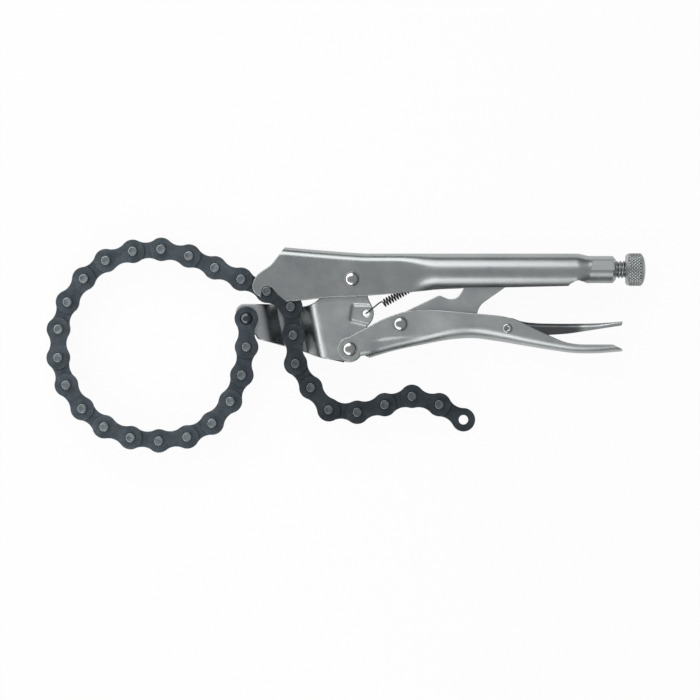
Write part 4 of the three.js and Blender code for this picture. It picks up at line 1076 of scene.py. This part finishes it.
def domed_rivet(name, centre, body, cad_node, stack_half, sizes, material):
    """Rivet: shank through the stack, and on each side a thin brim under a head whose section is a quarter
    of an ellipse (head cos t, rise sin t)."""
    head, seat = sizes["head"], stack_half + RIVET_GAP
    brim = [(sizes["brim"] - inside, seat + up) for inside, up in BRIM_EDGE]
    level = brim[-1][1]
    t = np.radians(np.linspace(0, 90, DOME_ROWS))
    dome = np.column_stack([head * np.cos(t), level + sizes["rise"] * np.sin(t)])
    half = [(sizes["shank"], 0), (sizes["shank"], seat), *brim, (head + BRIM_SHOWN, level), *dome]
    mesh = mesh_of(name, *turned_surface(both_ends(half), centre, RIVET_STEPS))
    piece(name, mesh, body, [cad_node], material, smooth_angle=SHARP["domed"])


def tubular_rivet():
    """Small rivet with a blind hole at each end, round which the head is half a ring."""
    shank, head, bore = LEVER_RIVET["shank"], LEVER_RIVET["head"], LEVER_RIVET["bore"]
    level = LOWER["rear_half"] + RIVET_GAP
    t = np.radians(np.linspace(0, 180, DOME_ROWS))
    ring = np.column_stack([
        (head + bore) / 2 + (head - bore) / 2 * np.cos(t),
        level + LEVER_RIVET["foot"] + LEVER_RIVET["rise"] * np.sin(t),
    ])
    bottom = level - LEVER_RIVET["deep"]
    half = [(shank, 0), (shank, level), (head, level), *ring, (bore, bottom), (0, bottom)]
    mesh = mesh_of("lever_rivet_heads", *turned_surface(both_ends(half), LEVER_PIVOT, LEVER_RIVET["steps"]))
    piece("lever_rivet_heads", mesh, "lower_handle", ["lever_rivet"], bright_nickel,
          smooth_angle=SHARP["turned"])


def threaded_screw():
    """Screw: radius falls from crest to root by a flattened zigzag of (x / lead - turn), fading to a plain
    tip, with a spigot in the knob."""
    start, shoulder = SCREW["from"], UPPER["length"] + SCREW["shown"] - SCREW["knob_gap"]
    x = np.arange(start, shoulder, THREAD["lead"] / THREAD["rows"])
    turn = np.arange(THREAD["around"]) / THREAD["around"]
    phase = np.mod(x[:, None] / THREAD["lead"] - turn, 1.0)
    zigzag = np.clip(np.abs(phase - 0.5) * THREAD["steep"] - THREAD["crest"], 0, 1)
    radii = SCREW["radius"] - SCREW["worn"] - THREAD["depth"] * zigzag
    fade = np.clip((x - start) / THREAD["run_in"], 0, 1)[:, None]
    radii = np.minimum(radii, SCREW["tip"] + SCREW["tip_slope"] * fade)
    tip, spigot = np.array(SCREW_TIP) + [0, start], np.array(SCREW_SPIGOT) + [0, shoulder]
    mesh = round_screw("threaded_screw", *with_ends(tip, x, radii, spigot))
    piece("threaded_screw", mesh, "adjusting_screw", ["adjusting_screw"], turned_steel,
          smooth_angle=SHARP["turned"])


def knob_body():
    """Runs and radii of the knob under its knurl: a straight grip, and a back that turns over by r cos t."""
    length, radius, dome = KNOB["length"], KNOB["radius"], KNOB["dome"]
    straight = np.linspace(KNOB["collar"], length - dome, KNURL["straight_rows"])
    t = np.radians(np.linspace(0, KNOB["dome_turn"], KNURL["dome_rows"]))[1:]
    runs = np.concatenate([straight, length - dome * (1 - np.sin(t))])
    return runs, np.concatenate([np.full(len(straight), radius), radius * np.cos(t)])


def knurled(runs, radii):
    """Radii round the knob less two crossed families of helical grooves, each a V across its own spacing.
    Both fade out at the ends, where the body is a little lower."""
    teeth, radii = KNURL["teeth"], radii[:, None]
    steps = np.hypot(np.diff(runs), np.diff(radii[:, 0]))
    along = np.concatenate([[0], np.cumsum(steps)])[:, None]
    turn = np.arange(teeth * KNURL["points"])[None, :] / KNURL["points"]
    lean = along * teeth / (2 * np.pi * KNOB["radius"])
    right, left = np.mod(turn + lean, 1.0), np.mod(turn - lean, 1.0)
    groove = np.minimum(np.abs(right - 0.5), np.abs(left - 0.5)) * 2
    fade = smooth_step(along, 0, KNURL["front_fade"]) * smooth_step(along[-1] - along, 0, KNURL["back_fade"])
    cut_in = KNURL["tooth"] * (1 - np.clip(groove * KNURL["sharp"], 0, 1)) * fade
    return radii - cut_in - KNURL["plain_drop"] * (1 - fade)


def mark_grooves(mesh, runs, radii):
    """Groove attribute: how far each vertex lies under the smooth body, as a share of the tooth's height."""
    places = np.empty(len(mesh.vertices) * 3)
    mesh.vertices.foreach_get("co", places)
    places = places.reshape(-1, 3)
    reach = np.hypot(places[:, 1] - SCREW["rise"], places[:, 2])
    inside = (places[:, 0] > runs[0]) & (places[:, 0] < runs[-1])
    deep = np.clip((np.interp(places[:, 0], runs, radii) - reach) / KNURL["tooth"], 0, 1)
    made = mesh.attributes.new("groove", "FLOAT", "POINT")
    made.data.foreach_set("value", np.where(inside, deep ** KNURL["groove_shade_power"], 0.0))


def knurled_knob():
    """Knob: collar with a bore in front, knurled grip, and a domed back closed to its middle."""
    start, length, radius = UPPER["length"] + SCREW["shown"], KNOB["length"], KNOB["radius"]
    body_runs, body_radii = knob_body()
    t = np.radians(KNURL["last_turns"])
    back = np.column_stack([
        radius * np.cos(t) - KNURL["plain_drop"], length - KNOB["dome"] * (1 - np.sin(t)),
    ])
    back = np.vstack([back, [0, length - KNURL["cap"]]])
    runs, radii = with_ends(KNOB_FRONT, body_runs, knurled(body_runs, body_radii), back)
    mesh = round_screw("knurled_knob_body", runs + start, radii)
    # The groove attribute says where painted shade darkens the knurl's grooves
    mark_grooves(mesh, body_runs + start, body_radii)
    piece("knurled_knob_body", mesh, "knurled_knob", ["knurled_knob"], knurled_steel,
          smooth_angle=SHARP["turned"])


def tube(path, radius, sides):
    """A round section carried along a path, kept upright by turning it the least from point to point."""
    along = np.gradient(path, axis=0)
    along /= np.linalg.norm(along, axis=1)[:, None]
    normal = np.empty_like(path)
    first = np.cross(along[0], ASKEW)
    normal[0] = first / np.linalg.norm(first)
    for i in range(1, len(path)):
        carried = normal[i - 1] - along[i] * (normal[i - 1] @ along[i])
        normal[i] = carried / np.linalg.norm(carried)
    side = np.cross(along, normal)
    a = np.linspace(0, 2 * np.pi, sides, endpoint=False)[None, :, None]
    return path[:, None, :] + radius * (np.cos(a) * normal[:, None, :] + np.sin(a) * side[:, None, :])


def spline(points, steps):
    """Curve through the points: cubic pieces whose slopes are half the step between a point's neighbours."""
    points = np.asarray(points, float)
    padded = np.vstack([2 * points[0] - points[1], points, 2 * points[-1] - points[-2]])
    t = np.linspace(0, 1, steps, endpoint=False)[:, None]
    p0, p1, p2, p3 = padded[:-3, None], padded[1:-2, None], padded[2:-1, None], padded[3:, None]
    curve = 0.5 * (2 * p1 + (p2 - p0) * t + (2 * p0 - 5 * p1 + 4 * p2 - p3) * t**2
                   + (3 * p1 - p0 - 3 * p2 + p3) * t**3)
    return np.vstack([curve.reshape(-1, 3), points[-1:]])


def return_spring():
    """Close coil (radius cos and sin of the turn) on an axis from the jaw's hole up into the handle, with
    a straight leg and a hook through the hole."""
    coil, start, pitch = SPRING["coil"], SPRING["start"], SPRING["pitch"]
    turns = np.arange(SPRING["turns"] * SPRING["turn_steps"] + 1) / SPRING["turn_steps"]
    a = 2 * np.pi * turns
    wound = np.column_stack([start + pitch * turns, -coil * np.sin(a), coil * np.cos(a)])
    rows = np.vstack([SPRING_LEG, wound, np.array(SPRING_TAIL) + [wound[-1][0], 0, 0]])
    angle = math.radians(SPRING["angle"])
    axis, across = [math.cos(angle), math.sin(angle)], [-math.sin(angle), math.cos(angle)]
    path = np.column_stack([SPRING_HOLE + rows[:, :2] @ [axis, across], rows[:, 2]])
    mesh = loft("spring_coil", tube(spline(path, SPRING["curve_steps"]), SPRING["wire"], SPRING["sides"]))
    piece("spring_coil", mesh, "fixed_handle", ["return_spring"], spring_wire,
          smooth_angle=SHARP["wound"])


# The tool

chain_pieces()
fixed_handle()
moving_handle()
release_lever()
toggle_link()
chain_jaw()
domed_rivet("upper_rivet_heads", UPPER_PIVOT, "fixed_handle", "upper_pivot_rivet", UPPER["front_half"],
            PIVOT_RIVET, bright_nickel)
domed_rivet("lower_rivet_heads", LOWER_PIVOT, "lower_handle", "lower_pivot_rivet", LOWER["front_half"],
            JOINT_RIVET, bright_nickel)
domed_rivet("link_rivet_heads", LINK_PIVOT, "lower_handle", "link_pivot_rivet", LOWER["front_half"],
            JOINT_RIVET, bright_nickel)
domed_rivet("anchor_rivet_heads", ANCHOR, "jaw", "anchor_rivet", ANCHOR_LEVELS[1],
            ANCHOR_RIVET, oiled_rivet)
tubular_rivet()
threaded_screw()
knurled_knob()
return_spring()

# Floor, light and camera, in metres and watts

FLOOR_HALF = 3.0
# How much of the floor's own white the camera sees, and how much of it the metal mirrors
FLOOR_SHOWN, FLOOR_MIRRORED = 0.95, 0.36
# Each soft box: [name, place, what it faces, width, height, watts]
SOFT_BOXES = [
    ("top_box", (-0.33, 0.72, 0.74), (-0.15, 0, 0), 1.0, 0.72, 4.4),
    ("bottom_box", (-0.3, -0.72, 0.72), (-0.12, 0, 0), 0.85, 0.62, 3.2),
    ("left_box", (-0.82, 0.0, 0.66), (0, 0, 0), 1.3, 0.42, 3.2),
]
# The room's light by the height of the direction, from the horizon at 0 to overhead at 1
ROOM = {"low": 0.05, "high": 0.9, "dim": 0.06, "bright": 0.4}
VIEW = {"across": 0.3899, "lens": 400.0, "sensor": 36.0, "far": 20.0}
VIEW_MIDDLE = np.array([-0.95, -39.5, 0.0])


def pale_paper():
    """Matt pale paper that the camera sees nearly white, and that metal mirrors as a part of that."""
    made = bpy.data.materials.new("pale_paper")
    made.use_nodes = True
    tree = made.node_tree
    tree.nodes.clear()
    paper = node(tree, "ShaderNodeBsdfDiffuse", {}, {"Color": linear("#f4f4f3")})
    glow = node(tree, "ShaderNodeEmission", {}, {"Color": linear("#ffffff"), "Strength": 1.0})
    path = node(tree, "ShaderNodeLightPath")
    mirrored = node(tree, "ShaderNodeMath", {"operation": "MAXIMUM"}, {
        0: path.outputs["Is Glossy Ray"], 1: path.outputs["Is Transmission Ray"]})
    mirrored = node(tree, "ShaderNodeMath", {"operation": "MULTIPLY"}, {
        0: mirrored.outputs[0], 1: FLOOR_MIRRORED})
    share = node(tree, "ShaderNodeMath", {"operation": "MULTIPLY_ADD"}, {
        0: path.outputs["Is Camera Ray"], 1: FLOOR_SHOWN, 2: mirrored.outputs[0]})
    both = node(tree, "ShaderNodeMixShader", {}, {
        0: share.outputs[0], 1: paper.outputs[0], 2: glow.outputs[0]})
    node(tree, "ShaderNodeOutputMaterial", {}, {"Surface": both.outputs[0]})
    return made


def floor():
    """A pale plain floor, far wider than the view."""
    corners = np.array([(-1, -1, 0), (1, -1, 0), (1, 1, 0), (-1, 1, 0)]) * FLOOR_HALF
    mesh = bpy.data.meshes.new("floor")
    mesh.from_pydata(corners.tolist(), [], [[0, 1, 2, 3]])
    mesh.materials.append(pale_paper())
    ground = bpy.data.objects.new("floor", mesh)
    bpy.context.scene.collection.objects.link(ground)


def lamp(name, place, target, wide, tall, watts):
    """A soft rectangular lamp that faces its target."""
    data = bpy.data.lights.new(name, "AREA")
    data.shape = "RECTANGLE"
    data.size = wide
    data.size_y = tall
    data.energy = watts
    made = bpy.data.objects.new(name, data)
    bpy.context.scene.collection.objects.link(made)
    made.location = place
    made.rotation_euler = (Vector(target) - Vector(place)).to_track_quat("-Z", "Y").to_euler()


def studio():
    """Wide soft boxes beyond the top, the bottom and the left of the view, and a room that is dim at the
    horizon and mid grey overhead."""
    for soft_box in SOFT_BOXES:
        lamp(*soft_box)
    world = bpy.data.worlds.new("grey_room")
    bpy.context.scene.world = world
    world.use_nodes = True
    tree = world.node_tree
    tree.nodes.clear()
    place = node(tree, "ShaderNodeTexCoord").outputs["Generated"]
    height = node(tree, "ShaderNodeSeparateXYZ", {}, {0: place}).outputs["Z"]
    level = node(tree, "ShaderNodeMapRange", {"interpolation_type": "SMOOTHSTEP"}, {
        "Value": height, "From Min": ROOM["low"], "From Max": ROOM["high"], "To Min": ROOM["dim"],
        "To Max": ROOM["bright"]}).outputs[0]
    sky = node(tree, "ShaderNodeBackground", {}, {"Color": linear("#f1f4f6"), "Strength": level})
    node(tree, "ShaderNodeOutputWorld", {}, {"Surface": sky.outputs[0]})


def camera():
    """Straight down on the tool, at the distance from which the frame spans the photograph's width across
    the tool's middle plane."""
    data = bpy.data.cameras.new("camera")
    data.lens = VIEW["lens"]
    data.sensor_width = VIEW["sensor"]
    data.clip_end = VIEW["far"]
    distance = VIEW["across"] / 2 / math.tan(math.atan(data.sensor_width / 2 / data.lens))
    middle = (VIEW_MIDDLE + pivot) / MM
    made = bpy.data.objects.new("camera", data)
    bpy.context.scene.collection.objects.link(made)
    made.location = (middle[0], middle[1], middle[2] + distance)
    bpy.context.scene.camera = made


floor()
studio()
camera()
bpy.context.scene.view_settings.view_transform = "Standard"
